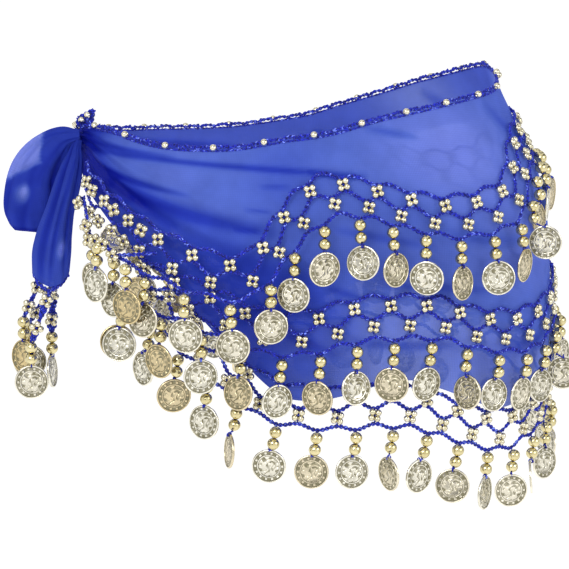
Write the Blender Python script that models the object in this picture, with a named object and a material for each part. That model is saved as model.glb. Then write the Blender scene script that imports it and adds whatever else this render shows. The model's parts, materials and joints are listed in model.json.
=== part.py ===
"""Belly dance hip scarf, worn: sheer cloth wound once round the hips and tied at the left side.

Frame: metres, +Z up, the wearer faces -Y. The origin is the centre of the hip opening, level
with the knot. All sizes below are in millimetres, and stations are degrees round the hips:
0 at the left side, 90 at the front, 180 at the right side, 270 at the back.
"""

import math
from bisect import bisect_right

import bmesh
import bpy
from mathutils import Vector

MM = 0.001
UP = Vector((0.0, 0.0, 1.0))

# ---------------------------------------------------------------- the hips that the scarf is on

# height above the knot, half width of the hips
HIPS = (
    (-300, 155),
    (-220, 161),
    (-165, 165),
    (-109, 167),
    (-61, 165),
    (-33, 161),
    (-18, 156),
    (-4, 149),
    (9, 143),
    (20, 138),
    (33, 132),
    (60, 123),
)
DEPTH_TO_WIDTH = 0.70
SQUARENESS = 2.3
GIRTH_LEVEL = -20

# ---------------------------------------------------------------- cloth

WALL = 1.0
SEAM_GAP = 0.3
LAY_GAP = 0.5

KNOT_STATION = 20
FRONT_START = 24.8
SIDE_STATION = 180
BACK_END = 375.9

# station, height of the top edge
FRONT_EDGE = ((20, 9), (27, 9), (40, 7), (47, 4), (58, 0), (69, -1), (78, 0), (88, 5), (96, 9),
              (108, 17), (123, 23), (140, 28), (160, 32), (180, 39))
BACK_EDGE = ((180, 39), (193, 44), (209, 41), (233, 31), (246, 23), (260, 13), (270, 4),
             (280, -1), (290, -3), (305, -3), (323, -2), (340, 1), (360, 5), (373, 7))

# station on the front, or as far round from the right side on the back; height of the hem
HEM = ((-13, -7), (10, -7), (22, -10), (27, -14), (31, -18), (35, -25), (42, -37), (51, -54),
       (60, -71), (69, -94), (80, -128), (88, -152), (94, -154), (104, -146), (112, -143),
       (120, -150), (132, -162), (140, -166), (150, -162), (161, -156), (180, -144))

# how much higher than on the front the hem and each band hang on the back, which narrows
# towards its end
HEM_RISE = 34
MIDDLE_RISE = 22
UPPER_RISE = 10
# station where the rise starts, degrees in which it grows to its full height, station past
# which there is none, degrees in which it fades to nothing there
RISE_START = 178
RISE_SPAN = 40
RISE_END = 57
RISE_FADE = 50

# share of the way from the top edge to the hem, height, how far the ridge runs from the knot
GATHERS = (
    (0.11, 1.8, 120),
    (0.29, 2.8, 200),
    (0.46, 2.2, 150),
    (0.63, 2.8, 170),
    (0.82, 2.0, 110),
)
CLOTH_COLUMN = 13.0

# ---------------------------------------------------------------- lace

PITCH = 21.5
# distances below a band's upper chain
DROP_FLOWER_1 = 7.0
DROP_FLOWER_2 = 19.5
DROP_CREST = 25.2
DROP_VALLEY = 28.2
CHAIN_RADIUS = 0.9
CHAIN_RISE = 1.6
FLOWER_RADIUS = 3.0
FLOWER_RISE = 3.6
# least sine that a corner's half angle counts as, so that a sharp one isn't drawn far out
LEAST_CORNER = 0.65

# station, height of the band's upper chain, sideways run of its rows for each mm of drop,
# lift of the lace, lift of its fringe
UPPER_BAND = (
    (34, -12, -0.10, 0, 2),
    (45, -24, -0.10, 3, 6),
    (52, -32, -0.10, 6, 13),
    (60, -43, -0.10, 7, 18),
    (70, -55, -0.05, 7, 19),
    (79, -62, 0.10, 6, 18),
    (83, -56, 0.20, 4, 14),
    (88, -31, 0.35, 1, 6),
    (92, -16, 0.42, 0, 5),
    (98, -15, 0.38, 0, 5),
    (109, -22, 0.25, 0, 5),
    (120, -28, 0.25, 0, 5),
    (134, -25, 0.30, 0, 4),
    (142, -18, 0.35, 0, 3),
    (150, -2, 0.26, 0, 1),
    (158, 9, 0.14, 0, 0),
    (174.5, 17, 0.02, 0, 0),
)
MIDDLE_BAND = (
    (56, -60, -0.30, 4, 10),
    (62, -69, -0.30, 4, 10),
    (70, -76, -0.20, 4, 10),
    (78, -86, -0.10, 3, 9),
    (84, -95, 0.00, 0, 6),
    (90, -97, 0.05, 0, 5),
    (100, -89, 0.05, 0, 5),
    (110, -88, 0.05, 0, 5),
    (118, -90, 0.08, 0, 5),
    (128, -98, 0.10, 0, 5),
    (140, -102, 0.12, 0, 5),
    (150, -101, 0.12, 0, 4),
    (162, -95, 0.08, 0, 2),
    (177, -84, 0.02, 0, 2),
)
HEM_BAND = (
    (57, -62, -0.60, 0, 0),
    (62, -71, -0.55, 0, 0),
    (70, -93, -0.50, 0, 0),
    (76, -110, -0.40, 0, 0),
    (82, -129, -0.30, 0, 0),
    (88, -141, -0.12, 0, 0),
    (95, -145, 0.00, 0, 0),
    (104, -144, 0.05, 0, 0),
    (112, -146, 0.05, 0, 0),
    (121, -154, 0.05, 0, 0),
    (130, -162, 0.08, 0, 0),
    (139, -166, 0.10, 0, 0),
    (150, -161, 0.10, 0, 0),
    (161, -156, 0.08, 0, 0),
    (177, -144, 0.02, 0, 0),
)

# ---------------------------------------------------------------- pendants

COIN_RADIUS = 10.9
COIN_THICKNESS = 1.4
# distance below the chain, half width, half depth, is it the coin
PENDANT = (
    (4.2, 4.0, 4.0, False),
    (7.9, 1.9, 1.9, False),
    (11.6, 4.0, 4.0, False),
    (15.6, 1.1, 0.7, True),
    (18.8, 7.6, 0.5, True),
    (26.4, COIN_RADIUS, COIN_THICKNESS / 2, True),
    (34.0, 7.6, 0.5, True),
)
PENDANT_LENGTH = 37.3
# how far outside its chain a bead's middle and a coin's back hang
BEAD_OUT = 4.2
COIN_OUT = 0.9
# the pendants hang a little unevenly: sideways run for each mm, and turn in degrees
SWAY_TILT = 0.05
SWAY_TURN = 32
# turn of the two waves from one step of a band to the next, in radians
TILT_STEP = 2.4
TURN_STEP = 1.7
# side-to-side lean of a band's pendants, as run for each mm, and start of its waves
UPPER_LEAN, UPPER_PHASE = 0.0, 0.4
MIDDLE_LEAN, MIDDLE_PHASE = -0.08, 1.9
HEM_LEAN, HEM_PHASE = -0.14, 3.1
# steps whose coin hangs nearly edge-on, and its turn in degrees
UPPER_EDGEWAYS = (31,)
MIDDLE_EDGEWAYS = (19, 27)
HEM_EDGEWAYS = (9, 17)
EDGEWAYS_TURN = 68
# first step of the fringe: the upper one starts past the knot
UPPER_FIRST = 3
OTHER_FIRST = 1
# steps nearer the knot than this are bunched on the front, with a pendant on every crest too,
# which hangs over its neighbours; how much further out that is, and the turn of their coins
UPPER_BUNCHED = 8
OTHER_BUNCHED = 0
BUNCH_OUT = 5.5
BUNCH_TURN = 14

# ---------------------------------------------------------------- edging along the top edge

EDGING_STEP = 10.7
STEPS_TO_BEAD = 3
# height above the cloth's edge, half width and rise of a beaded and of a plain knot
BEADED_KNOT = (2.4, 1.9, 3.4)
PLAIN_KNOT = (2.5, 1.0, 1.8)
# distance of the chain's ends from the ends of the stretch, in degrees
EDGING_KNOT_END = 3.5
EDGING_SIDE_END = 2

# ---------------------------------------------------------------- the tie

KNOT_HEIGHT = -2.5
KNOT_OUT = 7.6
KNOT_PLEAT_DEPTH = 0.08
# height of the section, half length along the hips, half depth
KNOT = (
    (-11.5, 3.0, 2.5),
    (-9.0, 7.0, 5.0),
    (-4.0, 10.5, 7.5),
    (1.0, 8.5, 6.4),
    (6.0, 8.0, 6.4),
    (9.5, 6.0, 5.0),
    (11.5, 3.0, 2.5),
)
# x, y, z of the middle of each section, half width, half depth
LOOP = (
    (-138.8, -56.2, 5.4, 3.5, 3.0),
    (-142.5, -56.2, 5.0, 4.6, 3.5),
    (-148.8, -56.2, 3.8, 7.2, 4.0),
    (-155.0, -54.6, -1.0, 10.5, 5.5),
    (-162.1, -50.6, -10.3, 14.5, 8.5),
    (-167.2, -47.0, -21.1, 17.0, 9.5),
    (-169.0, -46.0, -32.0, 18.5, 9.0),
    (-171.0, -46.0, -44.5, 18.5, 9.0),
    (-172.0, -46.0, -51.5, 16.0, 7.5),
    (-172.5, -46.0, -57.0, 10.5, 4.5),
)
TAIL = (
    (-141.2, -59.2, -2.4, 3.3, 2.8),
    (-142.0, -61.4, -8.0, 4.9, 4.4),
    (-143.8, -64.0, -15.5, 6.6, 5.6),
    (-146.6, -66.2, -26.5, 7.8, 7.4),
    (-150.6, -66.5, -40.0, 8.5, 8.5),
    (-154.6, -66.0, -56.0, 10.8, 10.0),
    (-156.6, -66.0, -68.0, 12.1, 11.0),
    (-157.4, -66.0, -80.0, 11.7, 11.0),
)
TIE_WALL = 1.2
TIE_SIDES = 12
TIE_PLEATS = 4
TIE_PLEAT_DEPTH = 0.10
TIE_TWIST = 0.35

# corners of the crocheted tip that stands up at the knot: x, height
TIP_CORNERS = ((-141.0, 11.0), (-132.6, 9.4), (-130.5, 21.2), (-140.6, 16.0))
TIP_CORDS = ((0, 1), (1, 2), (2, 3), (3, 0), (3, 1))
TIP_Y = -44.5
TIP_RADIUS = 1.4
TIP_RISE = 2.4

# x and y of the strand's end, length of its chain, turn of its coin in degrees
TAIL_STRANDS = (
    (-172.3, -54, 44, 34),
    (-174.5, -66, 38, -50),
    (-169, -75, 53, -60),
    (-158.3, -57, 49.5, -75),
)
TAIL_CHAIN_SIDES = 8
TAIL_CHAIN_DROP = 2.2
TAIL_CHAIN_SHARE = 0.8
TAIL_STRAND_RISE = 9
TAIL_CORD_RADIUS = 1.1
TAIL_CORD_RISE = 2.0


def from_table(rows, key, column=1):
    """Read a smooth curve through one column of a table, held level past its ends."""
    keys = [row[0] for row in rows]
    if key <= keys[0]:
        return rows[0][column]
    if key >= keys[-1]:
        return rows[-1][column]
    i = bisect_right(keys, key) - 1

    def slope(j):
        lower = max(j - 1, 0)
        upper = min(j + 1, len(rows) - 1)
        return (rows[upper][column] - rows[lower][column]) / (keys[upper] - keys[lower])

    span = keys[i + 1] - keys[i]
    t = (key - keys[i]) / span
    start = rows[i][column]
    end = rows[i + 1][column]
    bend = (2 * t - 3) * t * t
    swing = slope(i) * t * (1 - t) ** 2 - slope(i + 1) * t * t * (1 - t)
    return start * (1 + bend) - end * bend + swing * span


# ---------------------------------------------------------------- shape of the hips


def plan_point(station, half_width, half_depth):
    """Point of the squared oval that the hips have in plan."""
    turn = math.radians(station)
    across = math.copysign(abs(math.cos(turn)) ** (2 / SQUARENESS), math.cos(turn))
    ahead = math.copysign(abs(math.sin(turn)) ** (2 / SQUARENESS), math.sin(turn))
    return -half_width * across, -half_depth * ahead


def hips_frame(station, height, out):
    """Point at a distance outside the hips, and the ways round them, up them and outwards."""
    half_width = from_table(HIPS, height)
    half_depth = half_width * DEPTH_TO_WIDTH
    x, y = plan_point(station, half_width, half_depth)
    slope_x = math.copysign(abs(x / half_width) ** (SQUARENESS - 1), x) / half_width
    slope_y = math.copysign(abs(y / half_depth) ** (SQUARENESS - 1), y) / half_depth
    along = UP.cross(Vector((slope_x, slope_y, 0.0)).normalized())
    flare = (from_table(HIPS, height + 1) - from_table(HIPS, height - 1)) / (2 * half_width)
    up = Vector((x * flare, y * flare, 1.0))
    up = (up - along * up.dot(along)).normalized()
    outward = along.cross(up)
    return Vector((x, y, height)) + outward * out, along, up, outward


STATION_STEP = 0.5
STATIONS = [-20 + STATION_STEP * i for i in range(int(400 / STATION_STEP) + 1)]


def measure_girth():
    """Distance round the hips at each of the stations, at the level where it is measured."""
    half_width = from_table(HIPS, GIRTH_LEVEL)
    run = [0.0]
    last = plan_point(STATIONS[0], half_width, half_width * DEPTH_TO_WIDTH)
    for station in STATIONS[1:]:
        here = plan_point(station, half_width, half_width * DEPTH_TO_WIDTH)
        run.append(run[-1] + math.dist(last, here))
        last = here
    return run


GIRTHS = measure_girth()


def between(keys, values, key):
    """Read values at a key, straight between the nearest two."""
    i = min(max(bisect_right(keys, key) - 1, 0), len(keys) - 2)
    t = (key - keys[i]) / (keys[i + 1] - keys[i])
    return values[i] + (values[i + 1] - values[i]) * t


def girth_of(station):
    return between(STATIONS, GIRTHS, station)


def station_of(girth):
    return between(GIRTHS, STATIONS, girth)


def from_right_side(station):
    """The front station that lies as far from the right side as this one does."""
    return station if station <= SIDE_STATION else 2 * SIDE_STATION - station


def top_edge(station):
    return from_table(FRONT_EDGE if station <= SIDE_STATION else BACK_EDGE, station)


def ease(t):
    t = min(max(t, 0.0), 1.0)
    return t * t * (3 - 2 * t)


def back_rise(station, most):
    """How much higher than on the front a row hangs at this front station's place on the back."""
    return most * ease((RISE_START - station) / RISE_SPAN) * ease((station - RISE_END) / RISE_FADE)


def hem(station):
    there = from_right_side(station)
    return from_table(HEM, there) + (back_rise(there, HEM_RISE) if station > SIDE_STATION else 0.0)


def knot_distance(station):
    """Distance round the hips to the knot, the shorter way."""
    ahead = girth_of(station) - girth_of(KNOT_STATION)
    return min(ahead, girth_of(360) - girth_of(0) - ahead)


def gather_height(row, station):
    share, height, run = row
    return height / (1 + (knot_distance(station) / run) ** 3)


def crest(station):
    """Height of the tallest gather here, which lace and fringe lie on."""
    return max(gather_height(row, station) for row in GATHERS)


# ---------------------------------------------------------------- solids


class Solid:
    """Corner points and faces of one closed body."""

    def __init__(self):
        self.points = []
        self.faces = []

    def point(self, place):
        self.points.append(place * MM)
        return len(self.points) - 1

    def face(self, *corners):
        self.faces.append(corners)

    def build(self, name, finish, smooth_angle=40):
        mesh = bpy.data.meshes.new(name)
        mesh.from_pydata(self.points, [], self.faces)
        shape = bmesh.new()
        shape.from_mesh(mesh)
        bmesh.ops.triangulate(shape, faces=shape.faces[:])
        bmesh.ops.recalc_face_normals(shape, faces=shape.faces[:])
        if shape.calc_volume(signed=True) < 0:
            bmesh.ops.reverse_faces(shape, faces=shape.faces[:])
        shape.to_mesh(mesh)
        shape.free()
        mesh.shade_smooth()
        mesh.set_sharp_from_angle(angle=math.radians(smooth_angle))
        mesh.materials.append(finish)
        piece = bpy.data.objects.new(name, mesh)
        bpy.context.scene.collection.objects.link(piece)
        return piece


def cloth_wall(inner, outer, ring=False):
    """Wall between two grids of points; a ring's columns close on themselves."""
    solid = Solid()
    sides = [[[solid.point(place) for place in column] for column in grid] for grid in (inner, outer)]
    columns = len(inner)
    rows = len(inner[0])
    for i in range(columns if ring else columns - 1):
        j = (i + 1) % columns
        for side in sides:
            for k in range(rows - 1):
                solid.face(side[i][k], side[j][k], side[j][k + 1], side[i][k + 1])
        for k in (0, rows - 1):
            solid.face(sides[0][i][k], sides[0][j][k], sides[1][j][k], sides[1][i][k])
    if not ring:
        for i in (0, columns - 1):
            for k in range(rows - 1):
                solid.face(sides[0][i][k], sides[0][i][k + 1], sides[1][i][k + 1], sides[1][i][k])
    return solid


class LaceKnot:
    """A point where crochet cords meet: its place, its directions, half width and rise."""

    def __init__(self, frame, radius, rise):
        self.place, self.along, self.up, self.out = frame
        self.radius = radius
        self.rise = rise


HANGER = -1


def add_net(solid, knots, cords, hangers=()):
    """Three-sided cords between knots, with a ridge outwards; returns the roots of hangers."""
    links = [[] for _ in knots]
    for a, b in cords:
        links[a].append(b)
        links[b].append(a)
    for a in hangers:
        links[a].append(HANGER)
    left = {}
    right = {}
    ridge = []
    for a, knot in enumerate(knots):
        ridge.append(solid.point(knot.place + knot.out * knot.rise))
        ways = []
        for b in links[a]:
            step = -UP if b == HANGER else knots[b].place - knot.place
            ways.append((math.atan2(step.dot(knot.up), step.dot(knot.along)) % math.tau, b))
        ways.sort()
        corners = []
        if len(ways) == 1:
            turns = [(ways[0][0] + math.pi / 2, 1.0), (ways[0][0] - math.pi / 2, 1.0)]
        else:
            turns = []
            for n, (angle, b) in enumerate(ways):
                spread = (ways[(n + 1) % len(ways)][0] - angle) % math.tau
                turns.append((angle + spread / 2, 1 / max(math.sin(spread / 2), LEAST_CORNER)))
        for angle, reach in turns:
            way = knot.along * math.cos(angle) + knot.up * math.sin(angle)
            corners.append(solid.point(knot.place + way * (knot.radius * reach)))
        for n, (angle, b) in enumerate(ways):
            left[a, b] = corners[n]
            right[a, b] = corners[n - 1]
        if len(ways) == 1:
            solid.face(corners[0], corners[1], ridge[a])
        elif len(ways) > 2:
            solid.face(*corners)
    for a, b in cords:
        solid.face(left[a, b], right[b, a], ridge[b], ridge[a])
        solid.face(right[a, b], ridge[a], ridge[b], left[b, a])
        solid.face(left[a, b], right[a, b], left[b, a], right[b, a])
    return {a: (right[a, HANGER], left[a, HANGER], ridge[a]) for a in hangers}


def add_pendant(solid, root, frame_at, turn):
    """Two big beads and a coin, four-sided, hung from the root that a net left for it."""
    near, far, ridge = root
    last = None
    for drop, half_width, half_depth, is_coin in PENDANT:
        place, along, out = frame_at(drop, is_coin)
        angle = math.radians(turn) if is_coin else 0.0
        side = along * math.cos(angle) + out * math.sin(angle)
        face = out * math.cos(angle) - along * math.sin(angle)
        ring = (
            solid.point(place - side * half_width),
            solid.point(place + face * half_depth),
            solid.point(place + side * half_width),
            solid.point(place - face * half_depth),
        )
        if last is None:
            solid.face(near, ring[0], ring[1], ridge)
            solid.face(ridge, ring[1], ring[2], far)
            solid.face(near, far, ring[3])
            solid.face(near, ring[3], ring[0])
            solid.face(far, ring[2], ring[3])
        else:
            for n in range(4):
                m = (n + 1) % 4
                solid.face(last[n], last[m], ring[m], ring[n])
        last = ring
    tip = solid.point(frame_at(PENDANT_LENGTH, True)[0])
    for n in range(4):
        solid.face(last[n], last[(n + 1) % 4], tip)


# ---------------------------------------------------------------- finishes


def finish(name, colour, roughness, metallic=0.0):
    material = bpy.data.materials.new(name)
    material.use_nodes = True
    surface = material.node_tree.nodes["Principled BSDF"]
    surface.inputs["Base Color"].default_value = (*colour, 1.0)
    surface.inputs["Roughness"].default_value = roughness
    surface.inputs["Metallic"].default_value = metallic
    return material


for old in list(bpy.data.objects):
    bpy.data.objects.remove(old, do_unlink=True)

chiffon = finish("chiffon", (0.05, 0.08, 0.55), 0.7)
crochet_thread = finish("crochet_thread", (0.01, 0.02, 0.32), 0.6)
gilt = finish("gilt", (0.60, 0.52, 0.25), 0.3, 1.0)

# ---------------------------------------------------------------- cloth, front and back


def cloth_stretch(name, first, last):
    """One stretch of the wound cloth, with its gathers running out from the knot."""
    shares = [0.0, 1.0]
    for n, row in enumerate(GATHERS):
        shares.append(row[0])
        if n:
            shares.append((row[0] + GATHERS[n - 1][0]) / 2)
    shares.sort()
    run = girth_of(last) - girth_of(first)
    columns = round(run / CLOTH_COLUMN)
    inner = []
    outer = []
    for i in range(columns + 1):
        station = station_of(girth_of(first) + run * i / columns)
        edge = top_edge(station)
        drop = hem(station) - edge
        heights = {row[0]: gather_height(row, station) for row in GATHERS}
        for grid, thickness in ((inner, 0.0), (outer, WALL)):
            grid.append([
                hips_frame(station, edge + drop * share, heights.get(share, 0.0) + thickness)[0]
                for share in shares
            ])
    cloth_wall(inner, outer).build(name, chiffon)


seam = girth_of(SIDE_STATION)
cloth_stretch("cloth_front", FRONT_START, station_of(seam - SEAM_GAP / 2))
cloth_stretch("cloth_back", station_of(seam + SEAM_GAP / 2), BACK_END)

# ---------------------------------------------------------------- edging


def edging(name, first, last):
    """Crochet chain above the top edge, arched between the beads where it is sewn down."""
    run = girth_of(last) - girth_of(first)
    steps = round(run / EDGING_STEP / STEPS_TO_BEAD) * STEPS_TO_BEAD
    knots = []
    for i in range(steps + 1):
        station = station_of(girth_of(first) + run * i / steps)
        height, radius, rise = PLAIN_KNOT if i % STEPS_TO_BEAD else BEADED_KNOT
        knots.append(LaceKnot(hips_frame(station, top_edge(station) + height, 0.0), radius, rise))
    solid = Solid()
    add_net(solid, knots, [(i, i + 1) for i in range(steps)])
    solid.build(name, crochet_thread)


edging("edging_front", FRONT_START + EDGING_KNOT_END, SIDE_STATION - EDGING_SIDE_END)
edging("edging_back", SIDE_STATION + EDGING_SIDE_END, BACK_END - EDGING_KNOT_END)

# ---------------------------------------------------------------- lace bands and their fringes

LEAN = 2
LIFT_LACE = 3
LIFT_FRINGE = 4


class Band:
    """One lace band: its upper chain, measured along its own run, on the front or the back."""

    def __init__(self, rows, front, rise):
        self.rows = rows
        self.front = front
        self.rise = rise
        self.stations = []
        self.runs = []
        last = None
        station = rows[0][0]
        while station <= rows[-1][0]:
            here = (girth_of(station), from_table(rows, station))
            self.stations.append(station)
            self.runs.append(0.0 if last is None else self.runs[-1] + math.dist(last, here))
            last = here
            station += STATION_STEP
        self.steps = round(self.runs[-1] / PITCH * 2)

    def at(self, step, drop):
        """Station and height of a knot: half pitches along the band, mm below its upper chain."""
        station = between(self.runs, self.stations, self.runs[-1] * step / self.steps)
        lean = from_table(self.rows, station, LEAN)
        reach = drop / math.hypot(1, lean)
        height = from_table(self.rows, station) - reach
        return station_of(girth_of(station) + lean * reach), height

    def frame(self, station, height, lift):
        """Frame on the cloth of this stretch, raised by the gathers and the lift."""
        there = station
        if not self.front:
            there = 2 * SIDE_STATION - station
            height += back_rise(station, self.rise)
        return hips_frame(there, height, WALL + crest(there) + LAY_GAP + lift)

    def lift(self, station, column):
        return from_table(self.rows, station, column)


def lace(name, band):
    """Two chains joined by flowers, in cells half a pitch out of step."""
    knots = []
    index = {}
    cords = []

    def knot(step, drop, radius, rise):
        station, height = band.at(step, drop)
        frame = band.frame(station, height, band.lift(station, LIFT_LACE))
        index[step, drop] = len(knots)
        knots.append(LaceKnot(frame, radius, rise))

    for step in range(band.steps + 1):
        if step % 2 == 0:
            knot(step, 0.0, CHAIN_RADIUS, CHAIN_RISE)
            if 0 < step < band.steps:
                knot(step, DROP_FLOWER_2, FLOWER_RADIUS, FLOWER_RISE)
        else:
            knot(step, DROP_FLOWER_1, FLOWER_RADIUS, FLOWER_RISE)
    for step in range(1, band.steps, 2):
        flower = index[step, DROP_FLOWER_1]
        for beside in (step - 1, step + 1):
            cords.append((index[beside, 0.0], flower))
            if (beside, DROP_FLOWER_2) in index:
                cords.append((flower, index[beside, DROP_FLOWER_2]))
    solid = Solid()
    add_net(solid, knots, cords)
    solid.build(name, crochet_thread)


def fringe(name, band, first, bunched_to, lean, phase, edgeways):
    """The lowest chain of a band from its first step, with a pendant in each of its dips."""
    knots = []
    hangers = []
    places = []
    for step in range(first, band.steps + 1):
        bunched = band.front and step < bunched_to
        lift = 0.0
        if step % 2 == 0 and 0 < step < band.steps:
            station, height = band.at(step, DROP_CREST)
            if bunched:
                lift = BUNCH_OUT
        elif step % 2 == 1:
            station, height = band.at(step, DROP_VALLEY)
        else:
            continue
        if step % 2 == 1 or bunched:
            hangers.append(len(knots))
        lift += band.lift(station, LIFT_FRINGE)
        places.append((station, height, lift, step, bunched))
        knots.append(LaceKnot(band.frame(station, height, lift), CHAIN_RADIUS, CHAIN_RISE))
    solid = Solid()
    roots = add_net(solid, knots, [(i, i + 1) for i in range(len(knots) - 1)], hangers)
    for i, root in roots.items():
        station, height, lift, step, bunched = places[i]
        turn = SWAY_TURN * math.sin(TURN_STEP * step + phase)
        if bunched:
            turn = BUNCH_TURN
        if step in edgeways:
            turn = EDGEWAYS_TURN
        tilt = lean + SWAY_TILT * math.sin(TILT_STEP * step + phase)

        def frame_at(drop, is_coin):
            there = station_of(girth_of(station) + tilt * drop)
            coin_out = COIN_OUT + COIN_RADIUS * abs(math.sin(math.radians(turn)))
            out = coin_out if is_coin else BEAD_OUT
            place, along, _, outward = band.frame(there, height - drop, lift + out)
            return place, along, outward

        add_pendant(solid, root, frame_at, turn if band.front else -turn)
    solid.build(name, gilt)


for side, front in (("front", True), ("back", False)):
    for level, rows, rise, first, bunched_to, lean, phase, edgeways in (
        ("upper", UPPER_BAND, UPPER_RISE, UPPER_FIRST, UPPER_BUNCHED, UPPER_LEAN, UPPER_PHASE,
         UPPER_EDGEWAYS),
        ("middle", MIDDLE_BAND, MIDDLE_RISE, OTHER_FIRST, OTHER_BUNCHED, MIDDLE_LEAN, MIDDLE_PHASE,
         MIDDLE_EDGEWAYS),
        ("hem", HEM_BAND, HEM_RISE, OTHER_FIRST, OTHER_BUNCHED, HEM_LEAN, HEM_PHASE, HEM_EDGEWAYS),
    ):
        band = Band(rows, front, rise)
        lace(f"lace_{level}_{side}", band)
        fringe(f"fringe_{level}_{side}", band, first, bunched_to, lean, phase, edgeways)

# ---------------------------------------------------------------- knot, loop and tail


def oval(place, along, ahead, half_width, half_depth, pleat, phase):
    """Rippled oval of points round a place: the gathered cloth of the tie."""
    ring = []
    for n in range(TIE_SIDES):
        angle = math.tau * n / TIE_SIDES
        ripple = 1 + pleat * math.cos(TIE_PLEATS * angle + phase)
        ring.append(
            place
            + along * (half_width * ripple * math.cos(angle))
            + ahead * (half_depth * ripple * math.sin(angle))
        )
    return ring


def tie_sleeve(name, rows):
    """Gathered cloth of the tie: a hollow, pleated sleeve, open at both ends."""
    inner = []
    outer = []
    places = [Vector(row[:3]) for row in rows]
    ahead = Vector((0.0, 1.0, 0.0))
    for n, (half_width, half_depth) in enumerate(row[3:] for row in rows):
        run = places[min(n + 1, len(rows) - 1)] - places[max(n - 1, 0)]
        along = ahead.cross(run).normalized()
        for grid, less in ((inner, TIE_WALL), (outer, 0.0)):
            grid.append(oval(places[n], along, ahead, half_width - less, half_depth - less,
                             TIE_PLEAT_DEPTH, TIE_TWIST * n))
    columns = [[[ring[n] for ring in grid] for n in range(TIE_SIDES)] for grid in (inner, outer)]
    cloth_wall(columns[0], columns[1], ring=True).build(name, chiffon)


def knot():
    """The cloth of both ends, tied over itself: a waisted, pleated lump."""
    middle, along, _, out = hips_frame(KNOT_STATION, KNOT_HEIGHT, KNOT_OUT)
    solid = Solid()
    rings = []
    for height, half_length, half_depth in KNOT:
        places = oval(middle + UP * height, along, out, half_length, half_depth,
                      KNOT_PLEAT_DEPTH, 0.0)
        rings.append([solid.point(place) for place in places])
    for lower, upper in zip(rings, rings[1:]):
        for n in range(TIE_SIDES):
            m = (n + 1) % TIE_SIDES
            solid.face(lower[n], lower[m], upper[m], upper[n])
    for ring in (rings[0], rings[-1]):
        solid.face(*ring)
    solid.build("knot", chiffon)


knot()
tie_sleeve("tie_loop", LOOP)
tie_sleeve("tie_tail", TAIL)

# ---------------------------------------------------------------- tip and tail fringe


def tip():
    """Crocheted tip of the cloth's end, standing up at the knot: cords round two gaps."""
    knots = []
    for x, height in TIP_CORNERS:
        frame = Vector((x, TIP_Y, height)), Vector((1, 0, 0)), UP, Vector((0, -1, 0))
        knots.append(LaceKnot(frame, TIP_RADIUS, TIP_RISE))
    solid = Solid()
    add_net(solid, knots, TIP_CORDS)
    solid.build("tie_tip", crochet_thread)


def tail_fringe():
    """Chain round the tail's open end, and the strands that hang from it."""
    x, y, z, half_width, half_depth = TAIL[-1]
    knots = []
    cords = []
    hangers = []
    for n in range(TAIL_CHAIN_SIDES):
        angle = math.tau * n / TAIL_CHAIN_SIDES
        out = Vector((math.cos(angle), math.sin(angle), 0.0))
        reach = Vector((out.x * half_width, out.y * half_depth, 0.0)) * TAIL_CHAIN_SHARE
        place = Vector((x, y, z - TAIL_CHAIN_DROP)) + reach
        knots.append(LaceKnot((place, UP.cross(out), UP, out), TAIL_CORD_RADIUS, TAIL_CORD_RISE))
        cords.append((n, (n + 1) % TAIL_CHAIN_SIDES))
    ends = []
    for end_x, end_y, length, turn in TAIL_STRANDS:
        end = Vector((end_x, end_y, z - length + TAIL_STRAND_RISE))
        nearest = min(range(TAIL_CHAIN_SIDES), key=lambda n: (knots[n].place - end).length)
        out = (Vector((end_x, end_y, 0)) - Vector((x, y, 0))).normalized()
        cords.append((nearest, len(knots)))
        hangers.append(len(knots))
        ends.append((end, turn))
        knots.append(LaceKnot((end, UP.cross(out), UP, out), TAIL_CORD_RADIUS, TAIL_CORD_RISE))
    solid = Solid()
    roots = add_net(solid, knots, cords, hangers)
    for (i, root), (end, turn) in zip(roots.items(), ends):

        def frame_at(drop, is_coin):
            return end + knots[i].out - UP * drop, knots[i].along, knots[i].out

        add_pendant(solid, root, frame_at, turn)
    solid.build("fringe_tail", gilt)


tip()
tail_fringe()
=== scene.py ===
"""Belly dance hip scarf, worn: royal blue chiffon with crochet bands, bead flowers and coins."""

import math
from bisect import bisect_right

import bpy
import numpy as np
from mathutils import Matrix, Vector
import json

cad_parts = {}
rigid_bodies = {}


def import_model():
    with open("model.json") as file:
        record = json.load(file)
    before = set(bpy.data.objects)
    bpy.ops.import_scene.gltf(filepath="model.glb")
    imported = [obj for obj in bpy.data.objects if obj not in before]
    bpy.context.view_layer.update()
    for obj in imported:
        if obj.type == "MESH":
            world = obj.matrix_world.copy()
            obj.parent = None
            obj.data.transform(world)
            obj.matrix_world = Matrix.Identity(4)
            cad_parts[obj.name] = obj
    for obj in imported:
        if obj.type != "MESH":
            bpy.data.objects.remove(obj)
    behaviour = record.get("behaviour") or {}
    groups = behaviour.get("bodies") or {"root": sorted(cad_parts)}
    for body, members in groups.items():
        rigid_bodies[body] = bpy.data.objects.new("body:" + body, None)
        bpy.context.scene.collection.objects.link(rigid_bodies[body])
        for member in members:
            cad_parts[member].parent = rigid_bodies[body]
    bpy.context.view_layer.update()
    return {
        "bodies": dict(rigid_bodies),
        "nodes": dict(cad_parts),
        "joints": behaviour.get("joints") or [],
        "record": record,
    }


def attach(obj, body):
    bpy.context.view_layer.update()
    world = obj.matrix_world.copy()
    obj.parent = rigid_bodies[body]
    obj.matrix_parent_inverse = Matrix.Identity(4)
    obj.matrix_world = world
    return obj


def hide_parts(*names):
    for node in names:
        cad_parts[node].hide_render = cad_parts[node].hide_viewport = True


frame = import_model()

# ================================================================ cloth round the hips
# One long piece of polyester chiffon, woven so fine that the light comes through, piece-dyed
# royal blue. It is wound once round the hips and its ends are tied at the left side, so it
# lies stretched over the front and the back and falls in gathers towards the knot.

MM = 0.001
UP = Vector((0.0, 0.0, 1.0))

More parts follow.
